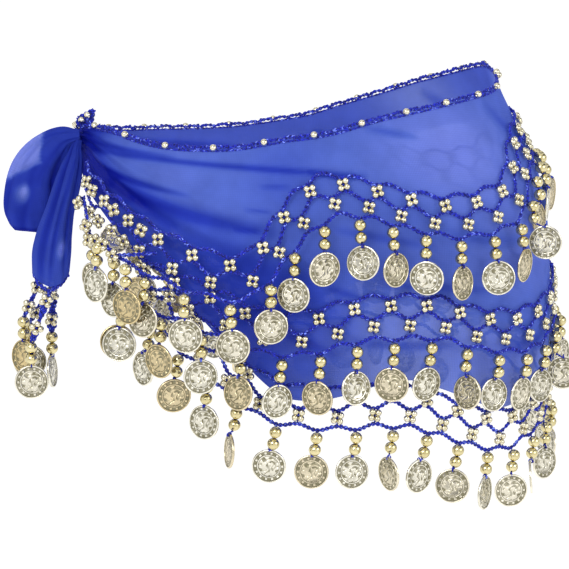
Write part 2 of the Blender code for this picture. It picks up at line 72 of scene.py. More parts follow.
# height above the knot, half width of the hips
HIPS = ((-300, 155), (-220, 161), (-165, 165), (-109, 167), (-61, 165), (-33, 161), (-18, 156),
        (-4, 149), (9, 143), (20, 138), (33, 132), (60, 123))
DEPTH_TO_WIDTH = 0.70
SQUARENESS = 2.3
GIRTH_LEVEL = -20

# Stations are degrees round the hips: 0 left side, 90 front, 180 right side, 270 back.
KNOT_STATION = 20
FRONT_START = 24.8
SIDE_STATION = 180
BACK_END = 375.9

# station, height of the top edge
FRONT_EDGE = ((20, 9), (27, 9), (40, 7), (47, 4), (58, 0), (69, -1), (78, 0), (88, 5), (96, 9),
              (108, 17), (123, 23), (140, 28), (160, 32), (180, 39))
BACK_EDGE = ((180, 39), (193, 44), (209, 41), (233, 31), (246, 23), (260, 13), (270, 4),
             (280, -1), (290, -3), (305, -3), (323, -2), (340, 1), (360, 5), (373, 7))
# station on the front, or as far round from the right side on the back; height of the hem
HEM = ((-13, -7), (10, -7), (22, -10), (27, -14), (31, -18), (35, -25), (42, -37), (51, -54),
       (60, -71), (69, -94), (80, -128), (88, -152), (94, -154), (104, -146), (112, -143),
       (120, -150), (132, -162), (140, -166), (150, -162), (161, -156), (180, -144))
# how much higher than on the front the hem and each band hang on the back
HEM_RISE = 34
RISES = {"upper": 10, "middle": 22, "hem": HEM_RISE}
# station where the rise starts, degrees in which it grows to its full height, station past
# which there is none, degrees in which it fades to nothing there
RISE_START = 178
RISE_SPAN = 40
RISE_END = 57
RISE_FADE = 50
# share of the way from the top edge to the hem, height, how far the ridge runs from the knot
GATHERS = ((0.11, 1.8, 120), (0.29, 2.8, 200), (0.46, 2.2, 150), (0.63, 2.8, 170),
           (0.82, 2.0, 110))
CLOTH_OUT = 0.9


def from_table(rows, key, column=1):
    """Read a smooth curve through one column of a table, held level past its ends."""
    keys = [row[0] for row in rows]
    if key <= keys[0]:
        return rows[0][column]
    if key >= keys[-1]:
        return rows[-1][column]
    i = bisect_right(keys, key) - 1

    def slope(j):
        lower = max(j - 1, 0)
        upper = min(j + 1, len(rows) - 1)
        return (rows[upper][column] - rows[lower][column]) / (keys[upper] - keys[lower])

    span = keys[i + 1] - keys[i]
    t = (key - keys[i]) / span
    start = rows[i][column]
    end = rows[i + 1][column]
    bend = (2 * t - 3) * t * t
    swing = slope(i) * t * (1 - t) ** 2 - slope(i + 1) * t * t * (1 - t)
    return start * (1 + bend) - end * bend + swing * span


def plan_point(station, half_width, half_depth):
    """Point of the squared oval that the hips have in plan."""
    turn = math.radians(station)
    across = math.copysign(abs(math.cos(turn)) ** (2 / SQUARENESS), math.cos(turn))
    ahead = math.copysign(abs(math.sin(turn)) ** (2 / SQUARENESS), math.sin(turn))
    return -half_width * across, -half_depth * ahead


def hips_frame(station, height, out):
    """Point at a distance outside the hips, and the ways round them, up them and outwards."""
    half_width = from_table(HIPS, height)
    half_depth = half_width * DEPTH_TO_WIDTH
    x, y = plan_point(station, half_width, half_depth)
    slope_x = math.copysign(abs(x / half_width) ** (SQUARENESS - 1), x) / half_width
    slope_y = math.copysign(abs(y / half_depth) ** (SQUARENESS - 1), y) / half_depth
    along = UP.cross(Vector((slope_x, slope_y, 0.0)).normalized())
    flare = (from_table(HIPS, height + 1) - from_table(HIPS, height - 1)) / (2 * half_width)
    up = Vector((x * flare, y * flare, 1.0))
    up = (up - along * up.dot(along)).normalized()
    outward = along.cross(up)
    return Vector((x, y, height)) + outward * out, along, up, outward


STATION_STEP = 0.5
STATIONS = [-20 + STATION_STEP * i for i in range(int(400 / STATION_STEP) + 1)]


def measure_girth():
    """Distance round the hips at each of the stations, at the level where it is measured."""
    half_width = from_table(HIPS, GIRTH_LEVEL)
    run = [0.0]
    last = plan_point(STATIONS[0], half_width, half_width * DEPTH_TO_WIDTH)
    for station in STATIONS[1:]:
        here = plan_point(station, half_width, half_width * DEPTH_TO_WIDTH)
        run.append(run[-1] + math.dist(last, here))
        last = here
    return run


GIRTHS = measure_girth()


def between(keys, values, key):
    """Read values at a key, straight between the nearest two."""
    i = min(max(bisect_right(keys, key) - 1, 0), len(keys) - 2)
    t = (key - keys[i]) / (keys[i + 1] - keys[i])
    return values[i] + (values[i + 1] - values[i]) * t


def girth_of(station):
    return between(STATIONS, GIRTHS, station)


def station_of(girth):
    return between(GIRTHS, STATIONS, girth)


def top_edge(station):
    return from_table(FRONT_EDGE if station <= SIDE_STATION else BACK_EDGE, station)


def mirrored(station):
    """The front station that lies as far from the right side as this one does."""
    return station if station <= SIDE_STATION else 2 * SIDE_STATION - station


def ease(t):
    t = min(max(t, 0.0), 1.0)
    return t * t * (3 - 2 * t)


def back_rise(station, most):
    """How much higher than on the front a row hangs at this front station's place on the back."""
    return most * ease((RISE_START - station) / RISE_SPAN) * ease((station - RISE_END) / RISE_FADE)


def hem(station):
    there = mirrored(station)
    return from_table(HEM, there) + (back_rise(there, HEM_RISE) if station > SIDE_STATION else 0.0)


def knot_distance(station):
    """Distance round the hips to the knot, the shorter way."""
    ahead = girth_of(station) - girth_of(KNOT_STATION)
    return min(ahead, girth_of(360) - girth_of(0) - ahead)


def gather_height(row, station):
    share, height, run = row
    return height / (1 + (knot_distance(station) / run) ** 3)


def crest(station):
    """Height of the tallest gather here, which lace and fringe lie on."""
    return max(gather_height(row, station) for row in GATHERS)


def gathers(station, share):
    """Height of the rounded gathers at a share of the way from the top edge to the hem."""
    middles = [0.0]
    middles += [(a[0] + b[0]) / 2 for a, b in zip(GATHERS, GATHERS[1:])]
    middles.append(1.0)
    n = min(bisect_right(middles, share) - 1, len(GATHERS) - 1)
    ridge = GATHERS[n][0]
    side = middles[n] if share < ridge else middles[n + 1]
    rise = 0.5 + 0.5 * math.cos(math.pi * (share - ridge) / (side - ridge))
    return rise * gather_height(GATHERS[n], station)


# Creases: start and end as station and height, how far the middle sags below the straight
# line, half width, and depth. The back has its own, given as the front's are.
CREASES = {
    "front": (
        (23, -2, 101, -15, 0, 2.0, -1.8),
        (22, -3, 68, -28, 2, 1.8, -2.3),
        (24, -5, 86, -50, 5, 4.5, -2.4),
        (24, 2, 62, -5, 0, 1.8, -1.6),
        (23, -4, 58, -42, 4, 1.7, -1.7),
        (24, -8, 52, -34, 3, 2.6, -1.8),
        (45, -18, 66, -47, 2, 2.6, -1.2),
        (84, -22, 89, -22, 0, 1.4, -0.9),
        (81, -36, 86, -37, 0, 1.4, -0.9),
        (79, -48, 84, -49, 0, 1.4, -0.9),
        (105, 13, 118, 7, 0, 2.2, -1.0),
        (92, -13, 103, -16, 1, 1.8, -1.2),
        (95, -84, 101, -91, 0, 2.2, -0.9),
        (107, -82, 137, -90, 0, 3.0, -1.0),
        (122, -52, 150, -60, 2, 4.0, -0.9),
        (96, -48, 118, -60, 0, 3.0, -0.8),
        (150, 22, 172, -6, 3, 5.0, -1.0),
        (100, -118, 124, -122, 1, 3.0, -0.9),
        (140, -128, 168, -122, 2, 4.0, -0.9),
        (84, -100, 96, -126, 2, 3.0, -1.0),
    ),
    "back": (
        (377, -2, 285, -16, 1, 2.8, -1.9),
        (378, -3, 306, -30, 3, 2.8, -2.4),
        (376, -5, 280, -46, 6, 4.5, -2.0),
        (376, 1, 330, -8, 0, 2.4, -1.5),
        (318, -18, 296, -44, 2, 2.6, -1.2),
        (268, -14, 250, -20, 1, 2.4, -1.0),
        (262, -44, 240, -58, 2, 3.4, -0.9),
        (232, 22, 208, 0, 3, 4.5, -1.0),
        (222, -52, 196, -64, 2, 4.0, -0.9),
        (262, -92, 238, -104, 1, 3.0, -0.9),
        (228, -120, 196, -126, 2, 4.0, -0.9),
        (276, -96, 264, -124, 2, 3.0, -1.0),
        (246, -34, 236, -36, 0, 1.6, -0.8),
        (214, -24, 204, -26, 0, 1.6, -0.8),
    ),
}

# shares of its length between which a crease shows: it fades out towards both
CREASE_REACH = (-0.1, 1.15)


def crease_lines(rows):
    """The creases as lines on the flattened cloth, in mm round and up."""
    return [(np.array((girth_of(first), high)), np.array((girth_of(last), low)), *shape)
            for first, high, last, low, *shape in rows]


def crease_depth(lines, girth, height):
    """Depth of all the creases at one place: soft troughs that run out at both ends."""
    total = 0.0
    here = np.array((girth, height))
    for start, end, sag, width, depth in lines:
        run = end - start
        share = float((here - start) @ run / (run @ run))
        if not CREASE_REACH[0] < share < CREASE_REACH[1]:
            continue
        off = here - (start + run * share)
        off[1] += sag * 4 * share * (1 - share)
        near = float(off @ off) / (width * width)
        fade = math.sin(math.pi * min(max(share * 0.87 + 0.1, 0), 1)) ** 0.6
        total += depth * math.exp(-near) * fade if near < 12 else 0.0
    return total


# How many thicknesses of cloth lie together, with painted shading put in as thicknesses more or
# less.
# It is gathered where it is tied, it lies over itself below the fold under the swag, and the
# back's top edge is turned over once and darkened further as painted shade. Creases add painted
# shade in their troughs, and broad patches add painted light and shade.
KNOT_REACH = 28
MORE_AT_KNOT = 3.0
# station, height of the fold's line; then the station where it has run out, and its fading
FOLD = ((22, 2), (35, -7), (45, -16), (59, -32), (69, -45), (80, -56), (92, -75), (102, -110))
FOLD_END = 104
FOLD_FADE = 22
FOLD_SOFTNESS = 3.5
MORE_UNDER_FOLD = 1.3
# depth of the turned edge, degrees in which it begins, mm in which it ends; the thicknesses
# it adds stand partly for the turned cloth and partly for painted shade on the back's inner face
TURNED_OVER = 34
TURN_BEGINS = 16
TURN_ENDS = 4
MORE_TURNED_AND_SHADE = 0.9
# thicknesses that each mm of a crease's depth adds: partly the cloth it gathers up, partly
# painted shade in its trough
CREASE_GATHER_AND_SHADE = 0.8
# broad patches of painted light and shade, put in as thicknesses more or less: station,
# height, how far round and how far up each reaches in mm, thicknesses more
PAINTED_SHADING_PATCHES = (
    (88, -16, 26, 24, 0.55),
    (62, -14, 22, 16, -0.10),
    (112, -40, 30, 20, 0.15),
    (127, -4, 42, 28, -0.62),
    (166, 10, 22, 30, 0.25),
    (92, -88, 52, 34, 0.55),
    (150, -60, 40, 24, -0.25),
    (140, -130, 52, 20, 0.4),
    (236, 20, 44, 26, -0.75),
    (250, -30, 34, 30, 0.35),
)


def painted_shading_patches(station, height):
    """Thicknesses more or less that the patches of painted light and shade add here."""
    girth = girth_of(station)
    total = 0.0
    for middle, level, round_reach, up_reach, more in PAINTED_SHADING_PATCHES:
        off = ((girth - girth_of(middle)) / round_reach) ** 2 + ((height - level) / up_reach) ** 2
        total += more * math.exp(-off)
    return total


def thicknesses_and_painted_shading(station, height, creased):
    there = mirrored(station)
    near = math.exp(-(knot_distance(station) / KNOT_REACH) ** 2)
    under = 1 / (1 + math.exp((height - from_table(FOLD, there)) / FOLD_SOFTNESS))
    under *= min(max((FOLD_END - there) / FOLD_FADE, 0), 1)
    # the turned edge along the back's top, darkened more as painted shade
    turned = ease((station - SIDE_STATION) / TURN_BEGINS)
    turned *= ease((TURNED_OVER + height - top_edge(station)) / TURN_ENDS)
    # creases, the turned edge and the broad patches put painted shade and light in here
    return (1 + MORE_AT_KNOT * near + MORE_UNDER_FOLD * under + MORE_TURNED_AND_SHADE * turned
            + CREASE_GATHER_AND_SHADE * abs(creased) + painted_shading_patches(station, height))


def new_object(name, points, faces):
    made = bpy.data.objects.new(name, bpy.data.meshes.new(name))
    made.data.from_pydata(points, [], faces)
    bpy.context.scene.collection.objects.link(made)
    return made


class Work:
    """Points, faces and one value for each point of a mesh in the making, in millimetres."""

    def __init__(self):
        self.points = []
        self.faces = []
        self.values = []
        self.flat = []
        self.count = 0

    def add(self, points, faces, values=0.0, flat=None):
        """Add a block of points with the faces between them."""
        points = np.asarray(points, float).reshape(-1, 3)
        self.points.append(points)
        self.values.append(np.broadcast_to(np.asarray(values, float), len(points)))
        self.flat.append(np.zeros((len(points), 2)) if flat is None else np.asarray(flat, float))
        self.faces.extend(tuple(self.count + corner for corner in face) for face in faces)
        self.count += len(points)

    def piece(self, name, material, slot, node=None, value_name=None, smooth_angle=None):
        """Make the object, let it ride on the scarf and hide the solid that it stands for."""
        made = new_object(name, np.concatenate(self.points) * MM, self.faces)
        mesh = made.data
        mesh.shade_smooth()
        if smooth_angle:
            mesh.set_sharp_from_angle(angle=math.radians(smooth_angle))
        if value_name:
            values = mesh.attributes.new(value_name, "FLOAT", "POINT")
            values.data.foreach_set("value", np.concatenate(self.values).astype(np.float32))
        corners = np.empty(len(mesh.loops), np.int32)
        mesh.loops.foreach_get("vertex_index", corners)
        layout = mesh.uv_layers.new(name="flat")
        layout.data.foreach_set("uv", (np.concatenate(self.flat)[corners] * MM).ravel())
        mesh.materials.append(material)
        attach(made, "root")
        if node:
            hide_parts(node)
        return made


def grid_faces(columns, rows, ring=False):
    """Faces of a grid of points, column by column; a ring's columns close on themselves."""
    faces = []
    for i in range(columns if ring else columns - 1):
        j = (i + 1) % columns
        for k in range(rows - 1):
            faces.append((i * rows + k, j * rows + k, j * rows + k + 1, i * rows + k + 1))
    return faces


def tube_faces(columns, rows, flipped=False):
    """Faces of a closed ring of columns and of both its ends, facing outwards.

    The columns stand side by side counterclockwise, seen from the side that their rows run
    to. Where they stand clockwise the faces have to be flipped.
    """
    faces = grid_faces(columns, rows, ring=True)
    faces.append(tuple(n * rows for n in reversed(range(columns))))
    faces.append(tuple(n * rows + rows - 1 for n in range(columns)))
    return [face[::-1] for face in faces] if flipped else faces


def colour(code):
    """Linear colour of an sRGB hex value."""
    parts = [int(code[i:i + 2], 16) / 255 for i in (0, 2, 4)]
    linear = [c / 12.92 if c <= 0.04045 else ((c + 0.055) / 1.055) ** 2.4 for c in parts]
    return (*linear, 1.0)


def add(tree, kind, inputs=None, **settings):
    """Add a node. An input is given a value, an output, or a node whose first output it takes."""
    made = tree.nodes.new("ShaderNode" + kind)
    for name, value in settings.items():
        setattr(made, name, value)
    for name, value in (inputs or {}).items():
        if isinstance(value, bpy.types.Node):
            value = value.outputs[0]
        if isinstance(value, bpy.types.NodeSocket):
            tree.links.new(value, made.inputs[name])
        else:
            made.inputs[name].default_value = value
    return made


def set_stops(ramp, rows):
    """Give a colour ramp its stops: place and colour of each, the first at 0."""
    stops = ramp.color_ramp.elements
    stops.remove(stops[1])
    for n, (at, shade) in enumerate(rows):
        stop = stops.new(at) if n else stops[0]
        stop.color = shade


def new_material(name):
    material = bpy.data.materials.new(name)
    material.use_nodes = True
    material.node_tree.nodes.clear()
    return material, material.node_tree


# Polyester chiffon: matt crepe yarns with gaps between them. One thickness lets a seventh of
# the light straight through and glows with what falls on its far side; more thicknesses look
# deeper blue. Its yarns lie 0.3 mm apart, and are drawn 1.1 mm apart, so that they show.
YARN_SPACING = 1.1
THROUGH_ONE = 0.14
# how deep the blue looks, from the fewest thicknesses that lie together to the most
DYES = ((0.0, "8A9CF4"), (0.2, "5E76D2"), (0.38, "485FC6"), (0.6, "2E42B6"), (1.0, "101C98"))
LEAST_THICKNESSES = 0.3
MOST_THICKNESSES = 3.8


def make_chiffon():
    material, tree = new_material("polyester_chiffon")
    # the thicknesses read here carry painted shading too: painted shade in creases and folds and
    # along the back's top edge, and broad patches of painted light and shade
    layers_and_painted_shading = add(tree, "Attribute", attribute_name="thicknesses_and_painted_shading").outputs["Fac"]
    flat = add(tree, "UVMap", uv_map="flat")
    yarns = []
    for way in add(tree, "SeparateXYZ", {0: flat}).outputs[:2]:
        turn = add(tree, "Math", {0: way, 1: math.tau / (YARN_SPACING * MM)}, operation="MULTIPLY")
        yarns.append(add(tree, "Math", {0: turn}, operation="SINE"))
    weave = add(tree, "Math", {0: yarns[0], 1: yarns[1]}, operation="ADD")
    slubs = add(tree, "TexNoise", {"Vector": flat, "Scale": 55.0, "Detail": 3.0})
    clear = add(tree, "Math", {0: THROUGH_ONE, 1: layers_and_painted_shading}, operation="POWER")
    closed = add(tree, "Math", {0: 1.0, 1: clear}, operation="SUBTRACT")
    cover = add(tree, "Math", {0: weave, 1: 0.03, 2: closed}, operation="MULTIPLY_ADD",
                use_clamp=True)
    depth = add(tree, "MapRange", {
        "Value": layers_and_painted_shading, "From Min": LEAST_THICKNESSES, "From Max": MOST_THICKNESSES})
    dye = add(tree, "ValToRGB", {0: depth})
    set_stops(dye, [(at, colour(code)) for at, code in DYES])
    shade = add(tree, "MapRange", {
        "Value": slubs, "From Min": 0.3, "From Max": 0.7, "To Min": 0.9, "To Max": 1.08})
    dyed = add(tree, "VectorMath", {0: dye, "Scale": shade}, operation="SCALE")
    bump = add(tree, "Bump", {"Strength": 0.25, "Distance": 0.0002, "Height": weave})
    face = add(tree, "BsdfPrincipled", {
        "Base Color": dyed, "Roughness": 0.75, "Specular IOR Level": 0.15,
        "Specular Tint": colour("8C9CFF"), "Sheen Weight": 0.2, "Sheen Roughness": 0.5,
        "Sheen Tint": colour("4A60E0"), "Normal": bump})
    glow = add(tree, "BsdfTranslucent", {"Color": dyed})
    cloth = add(tree, "MixShader", {0: 0.4, 1: face, 2: glow})
    gaps = add(tree, "BsdfTransparent", {"Color": colour("CBD2FF")})
    whole = add(tree, "MixShader", {0: cover, 1: gaps, 2: cloth})
    add(tree, "OutputMaterial", {"Surface": whole})
    return material


chiffon = make_chiffon()

CLOTH_STEP = 2.0
CLOTH_ROWS = 84
# degrees that the cloth runs on under the knot, where it is tied in
TIED_IN = 5.2
RIPPLE = 0.35


def stretch_of_cloth(name, side, first, last, node):
    """One stretch of the wound cloth as a thin sheet, with its gathers and creases."""
    lines = crease_lines(CREASES[side])
    run = girth_of(last) - girth_of(first)
    columns = round(run / CLOTH_STEP)
    points = []
    values = []
    flat = []
    for i in range(columns + 1):
        girth = girth_of(first) + run * i / columns
        station = station_of(girth)
        edge = top_edge(station)
        drop = hem(station) - edge
        for k in range(CLOTH_ROWS + 1):
            share = k / CLOTH_ROWS
            height = edge + drop * share
            inside = math.sin(math.pi * share) ** 0.5
            ripple = RIPPLE * math.sin(girth / 17 + height / 23)
            ripple *= math.sin(height / 13 - girth / 41)
            creased = crease_depth(lines, girth, height)
            out = CLOTH_OUT + gathers(station, share) + inside * (creased + ripple)
            points.append(hips_frame(station, height, out)[0])
            values.append(thicknesses_and_painted_shading(station, height, creased))
            flat.append((girth, height))
    work = Work()
    work.add(points, grid_faces(columns + 1, CLOTH_ROWS + 1), values, flat)
    return work.piece(name, chiffon, "chiffon", node, "thicknesses_and_painted_shading")


chiffon_front = stretch_of_cloth("chiffon_front", "front", FRONT_START - TIED_IN, SIDE_STATION,
                                 "cloth_front")
chiffon_back = stretch_of_cloth("chiffon_back", "back", SIDE_STATION, BACK_END + TIED_IN,
                                "cloth_back")

# ================================================================ crochet edging
# A chain crocheted from royal blue acrylic yarn with a strand of blue metal foil in it. It is
# hooked through the cloth's top edge and stands just above it, in flat arcs between the
# stitches, with a small silvery bead every third arc.

STITCH = 3.0
STITCH_SAMPLES = 4
PLY_RADIUS = 0.72
PLY_SWING = 0.78
PLY_LIFT = 0.30
PLY_SIDES = 4


def plied_cord(work, line, radius=PLY_RADIUS, swing=PLY_SWING):
    """Chain stitches along a line of frames: two plies that cross at each stitch.

    Each frame starts with its place and ends with the way outwards.
    """
    places = np.array([frame[0] for frame in line], float)
    outs = np.array([frame[-1] for frame in line], float)
    steps = np.linalg.norm(np.diff(places, axis=0), axis=1)
    run = np.concatenate(([0.0], np.cumsum(steps)))
    count = max(3, round(run[-1] / STITCH * STITCH_SAMPLES))
    at = np.linspace(0, run[-1], count + 1)
    middle = np.stack([np.interp(at, run, places[:, c]) for c in range(3)], 1)
    out = np.stack([np.interp(at, run, outs[:, c]) for c in range(3)], 1)
    tangent = np.gradient(middle, axis=0)
    tangent /= np.linalg.norm(tangent, axis=1)[:, None]
    out -= tangent * np.sum(out * tangent, axis=1)[:, None]
    out /= np.linalg.norm(out, axis=1)[:, None]
    side = np.cross(tangent, out)
    phase = math.pi * at / STITCH + math.pi / STITCH_SAMPLES / 2
    turns = math.tau * np.arange(PLY_SIDES) / PLY_SIDES
    for way in (-1, 1):
        sway = way * swing * np.cos(phase)
        lift = way * PLY_LIFT * np.sin(2 * phase)
        core = middle + side * sway[:, None] + out * lift[:, None]
        ring = (core[:, None, :]
                + side[:, None, :] * (radius * np.cos(turns))[None, :, None]
                + out[:, None, :] * (radius * np.sin(turns))[None, :, None])
        points = ring.transpose(1, 0, 2).reshape(-1, 3)
        flat = np.stack([np.tile(at, PLY_SIDES), np.repeat(turns * radius, count + 1)], 1)
        work.add(points, tube_faces(PLY_SIDES, count + 1, flipped=True), 0.0, flat)


# Acrylic yarn: dull fibres, deep blue, with a flat strand of metal foil that glints light blue
# where it comes to the surface, every few millimetres.
FIBRE_SPACING = 1.2
GLINT_SPACING = 2.2


def make_yarn():
    material, tree = new_material("acrylic_yarn_with_foil")
    place = add(tree, "TexCoord").outputs["Object"]
    fibres = add(tree, "TexNoise", {
        "Vector": place, "Scale": 1 / (FIBRE_SPACING * MM), "Detail": 3.0})
    foil = add(tree, "TexNoise", {
        "Vector": place, "Scale": 1 / (GLINT_SPACING * MM), "Detail": 1.0})
    shows = add(tree, "MapRange", {"Value": foil, "From Min": 0.60, "From Max": 0.65})
    tone = add(tree, "MapRange", {"Value": fibres, "From Min": 0.4, "From Max": 0.62})
    yarn = add(tree, "Mix", {0: tone, 6: colour("0A1062"), 7: colour("2032D2")}, data_type="RGBA")
    dyed = add(tree, "Mix", {0: shows, 6: yarn.outputs[2], 7: colour("7488EE")}, data_type="RGBA")
    matt = add(tree, "MapRange", {"Value": shows, "To Min": 0.8, "To Max": 0.3})
    bump = add(tree, "Bump", {"Strength": 0.6, "Distance": 0.0003, "Height": fibres})
    surface = add(tree, "BsdfPrincipled", {
        "Base Color": dyed.outputs[2], "Roughness": matt, "Metallic": shows,
        "Sheen Weight": 0.2, "Sheen Tint": colour("5064F0"), "Normal": bump})
    add(tree, "OutputMaterial", {"Surface": surface})
    return material


yarn = make_yarn()

# the pits at both ends of a bead's hole: width as a share of the hole's, and where they end
PIT_WIDTH = 0.8
PIT_END = 0.45


def bead_shape(radius, sides, rings, hole, waist=1.0):
    """A drilled bead round its own upright hole: its points and faces."""
    start = math.asin(hole)
    falls = [start + (math.pi - 2 * start) * k / rings for k in range(rings + 1)]
    outline = [(hole * PIT_WIDTH, PIT_END)]
    outline += [(math.sin(fall), math.cos(fall)) for fall in falls]
    outline.append((hole * PIT_WIDTH, -PIT_END))
    points = []
    for n in range(sides):
        turn = math.tau * n / sides
        points += [(radius * wide * math.cos(turn), radius * wide * math.sin(turn),
                    radius * waist * level) for wide, level in outline]
    return np.array(points), tube_faces(sides, len(outline), flipped=True)


def place_copy(work, shape, place, axis, towards, tone):
    """Add a copy of a shape, its own z along an axis and its own y towards a direction.

    Its flat map is the shape seen from its own front.
    """
    points, faces = shape
    z = Vector(axis).normalized()
    x = Vector(towards).cross(z).normalized()
    y = z.cross(x)
    turned = points @ np.array((x, y, z), float)
    work.add(turned + np.array(place), faces, tone, points[:, (0, 2)])


# Vacuum-metallised plastic beads: a bright pale gold film under clear lacquer, worn thin and
# browner in places. The small ones come out more silvery.
def make_gilding(name, pale, deep, roughness):
    material, tree = new_material(name)
    tone = add(tree, "Attribute", attribute_name="tone").outputs["Fac"]
    place = add(tree, "TexCoord").outputs["Object"]
    wear = add(tree, "TexNoise", {"Vector": place, "Scale": 1 / (3 * MM), "Detail": 4.0})
    spread = add(tree, "Math", {0: wear, 1: 0.6, 2: tone}, operation="MULTIPLY_ADD",
                 use_clamp=True)
    film = add(tree, "Mix", {0: spread, 6: colour(pale), 7: colour(deep)}, data_type="RGBA")
    rough = add(tree, "MapRange", {
        "Value": wear, "To Min": roughness, "To Max": roughness + 0.14})
    surface = add(tree, "BsdfPrincipled", {
        "Base Color": film.outputs[2], "Metallic": 1.0, "Roughness": rough,
        "Coat Weight": 0.4, "Coat Roughness": 0.08})
    add(tree, "OutputMaterial", {"Surface": surface})
    return material


small_gilding = make_gilding("metallised_small_bead", "F4EFDC", "B9AE84", 0.14)

EDGING_STEP = 10.7
STEPS_TO_BEAD = 3
EDGING_KNOT_END = 3.5
EDGING_SIDE_END = 2
EDGING_RISE = 1.7
ARC_RISE = 1.0
ARC_POINTS = 8
EDGE_BEAD = bead_shape(2.25, 12, 8, 0.28)
EDGE_BEAD_OUT = 2.0
# picots: small loops of yarn that stand off the chain, how many of its points apart, how high
PICOT_SPACING = 4
PICOT_HEIGHT = 1.6
# radius and swing of the plies: the edging's chain, its picots, the stitches in the cloth
EDGING_PLY = (0.66, 0.7)
PICOT_PLY = (0.34, 0.3)
SEWING_PLY = (0.42, 0.4)


def edging(side, first, last):
    """The chain along one stretch of the top edge, and its beads."""
    run = girth_of(last) - girth_of(first)
    steps = round(run / EDGING_STEP / STEPS_TO_BEAD) * STEPS_TO_BEAD

    def edge_frame(step, rise, out):
        station = station_of(girth_of(first) + run * step / steps)
        return hips_frame(station, top_edge(station) + rise, CLOTH_OUT + out)

    chain = []
    beads = Work()
    for i in range(steps * ARC_POINTS + 1):
        step, point = divmod(i, ARC_POINTS)
        uneven = 0.75 + 0.5 * math.sin(2.3 * step) ** 2
        rise = ARC_RISE * uneven * math.sin(math.pi * point / ARC_POINTS)
        chain.append(edge_frame(i / ARC_POINTS, EDGING_RISE + rise, 0.0))
        if point == 0 and step % STEPS_TO_BEAD == 0:
            place, along, up, out = edge_frame(step, EDGING_RISE, EDGE_BEAD_OUT)
            place_copy(beads, EDGE_BEAD, place, along + up * 0.4, out, 0.1)
    work = Work()
    plied_cord(work, chain, *EDGING_PLY)
    for n in range(1, len(chain) - 2, PICOT_SPACING):
        start, _, _, out = chain[n]
        end = chain[n + 2][0]
        lean = 0.6 * math.sin(2.7 * n)
        tip = start.lerp(end, 0.5 + lean) + UP * (PICOT_HEIGHT * (0.7 + 0.4 * math.sin(1.9 * n)))
        plied_cord(work, [(start, out), (tip, out), (end, out)], *PICOT_PLY)
    plied_cord(work, [edge_frame(n / 4, 0.2, 0.4) for n in range(steps * 4 + 1)], *SEWING_PLY)
    work.piece(f"crochet_edging_{side}", yarn, "crochet_thread", f"edging_{side}")
    beads.piece(f"edge_beads_{side}", small_gilding, "gilt", value_name="tone")


edging("front", FRONT_START + EDGING_KNOT_END, SIDE_STATION - EDGING_SIDE_END)
edging("back", SIDE_STATION + EDGING_SIDE_END, BACK_END - EDGING_KNOT_END)

# ================================================================ crochet bands
# Three bands crocheted from the same yarn in rows of arcs. Two rows of bead flowers sit
# between the chains. The upper two bands are sewn on the cloth in swags, and the lowest one
# grows out of its hem and hangs free. The back of the scarf repeats the front.

PITCH = 21.5
# drops of the upper two chains at their crests and dips, and of the lowest one
CHAIN_DROPS = ((0.0, 2.8), (10.6, 15.4))
LAST_CHAIN_DROPS = (25.2, 28.2)
DROP_FLOWER_1 = 7.0
DROP_FLOWER_2 = 19.5
LAY_OUT = 1.5
CORD_OUT = 0.8

# station, height of the band's upper chain, sideways run of its rows for each mm of drop,
# lift of the lace, lift of its fringe
BANDS = {
    "upper": (
        (34, -12, -0.10, 0, 2), (45, -24, -0.10, 3, 6), (52, -32, -0.10, 6, 13),
        (60, -43, -0.10, 7, 18), (70, -55, -0.05, 7, 19), (79, -62, 0.10, 6, 18),
        (83, -56, 0.20, 4, 14), (88, -31, 0.35, 1, 6), (92, -16, 0.42, 0, 5),
        (98, -15, 0.38, 0, 5), (109, -22, 0.25, 0, 5), (120, -28, 0.25, 0, 5),
        (134, -25, 0.30, 0, 4), (142, -18, 0.35, 0, 3), (150, -2, 0.26, 0, 1),
        (158, 9, 0.14, 0, 0), (174.5, 17, 0.02, 0, 0),
    ),
    "middle": (
        (56, -60, -0.30, 4, 10), (62, -69, -0.30, 4, 10), (70, -76, -0.20, 4, 10),
        (78, -86, -0.10, 3, 9), (84, -95, 0.00, 0, 6), (90, -97, 0.05, 0, 5),
        (100, -89, 0.05, 0, 5), (110, -88, 0.05, 0, 5), (118, -90, 0.08, 0, 5),
        (128, -98, 0.10, 0, 5), (140, -102, 0.12, 0, 5), (150, -101, 0.12, 0, 4),
        (162, -95, 0.08, 0, 2), (177, -84, 0.02, 0, 2),
    ),
    "hem": (
        (57, -62, -0.60, 0, 0), (62, -71, -0.55, 0, 0), (70, -93, -0.50, 0, 0),
        (76, -110, -0.40, 0, 0), (82, -129, -0.30, 0, 0), (88, -141, -0.12, 0, 0),
        (95, -145, 0.00, 0, 0), (104, -144, 0.05, 0, 0), (112, -146, 0.05, 0, 0),
        (121, -154, 0.05, 0, 0), (130, -162, 0.08, 0, 0), (139, -166, 0.10, 0, 0),
        (150, -161, 0.10, 0, 0), (161, -156, 0.08, 0, 0), (177, -144, 0.02, 0, 0),
    ),
}
LEAN = 2
LIFT_LACE = 3
LIFT_FRINGE = 4


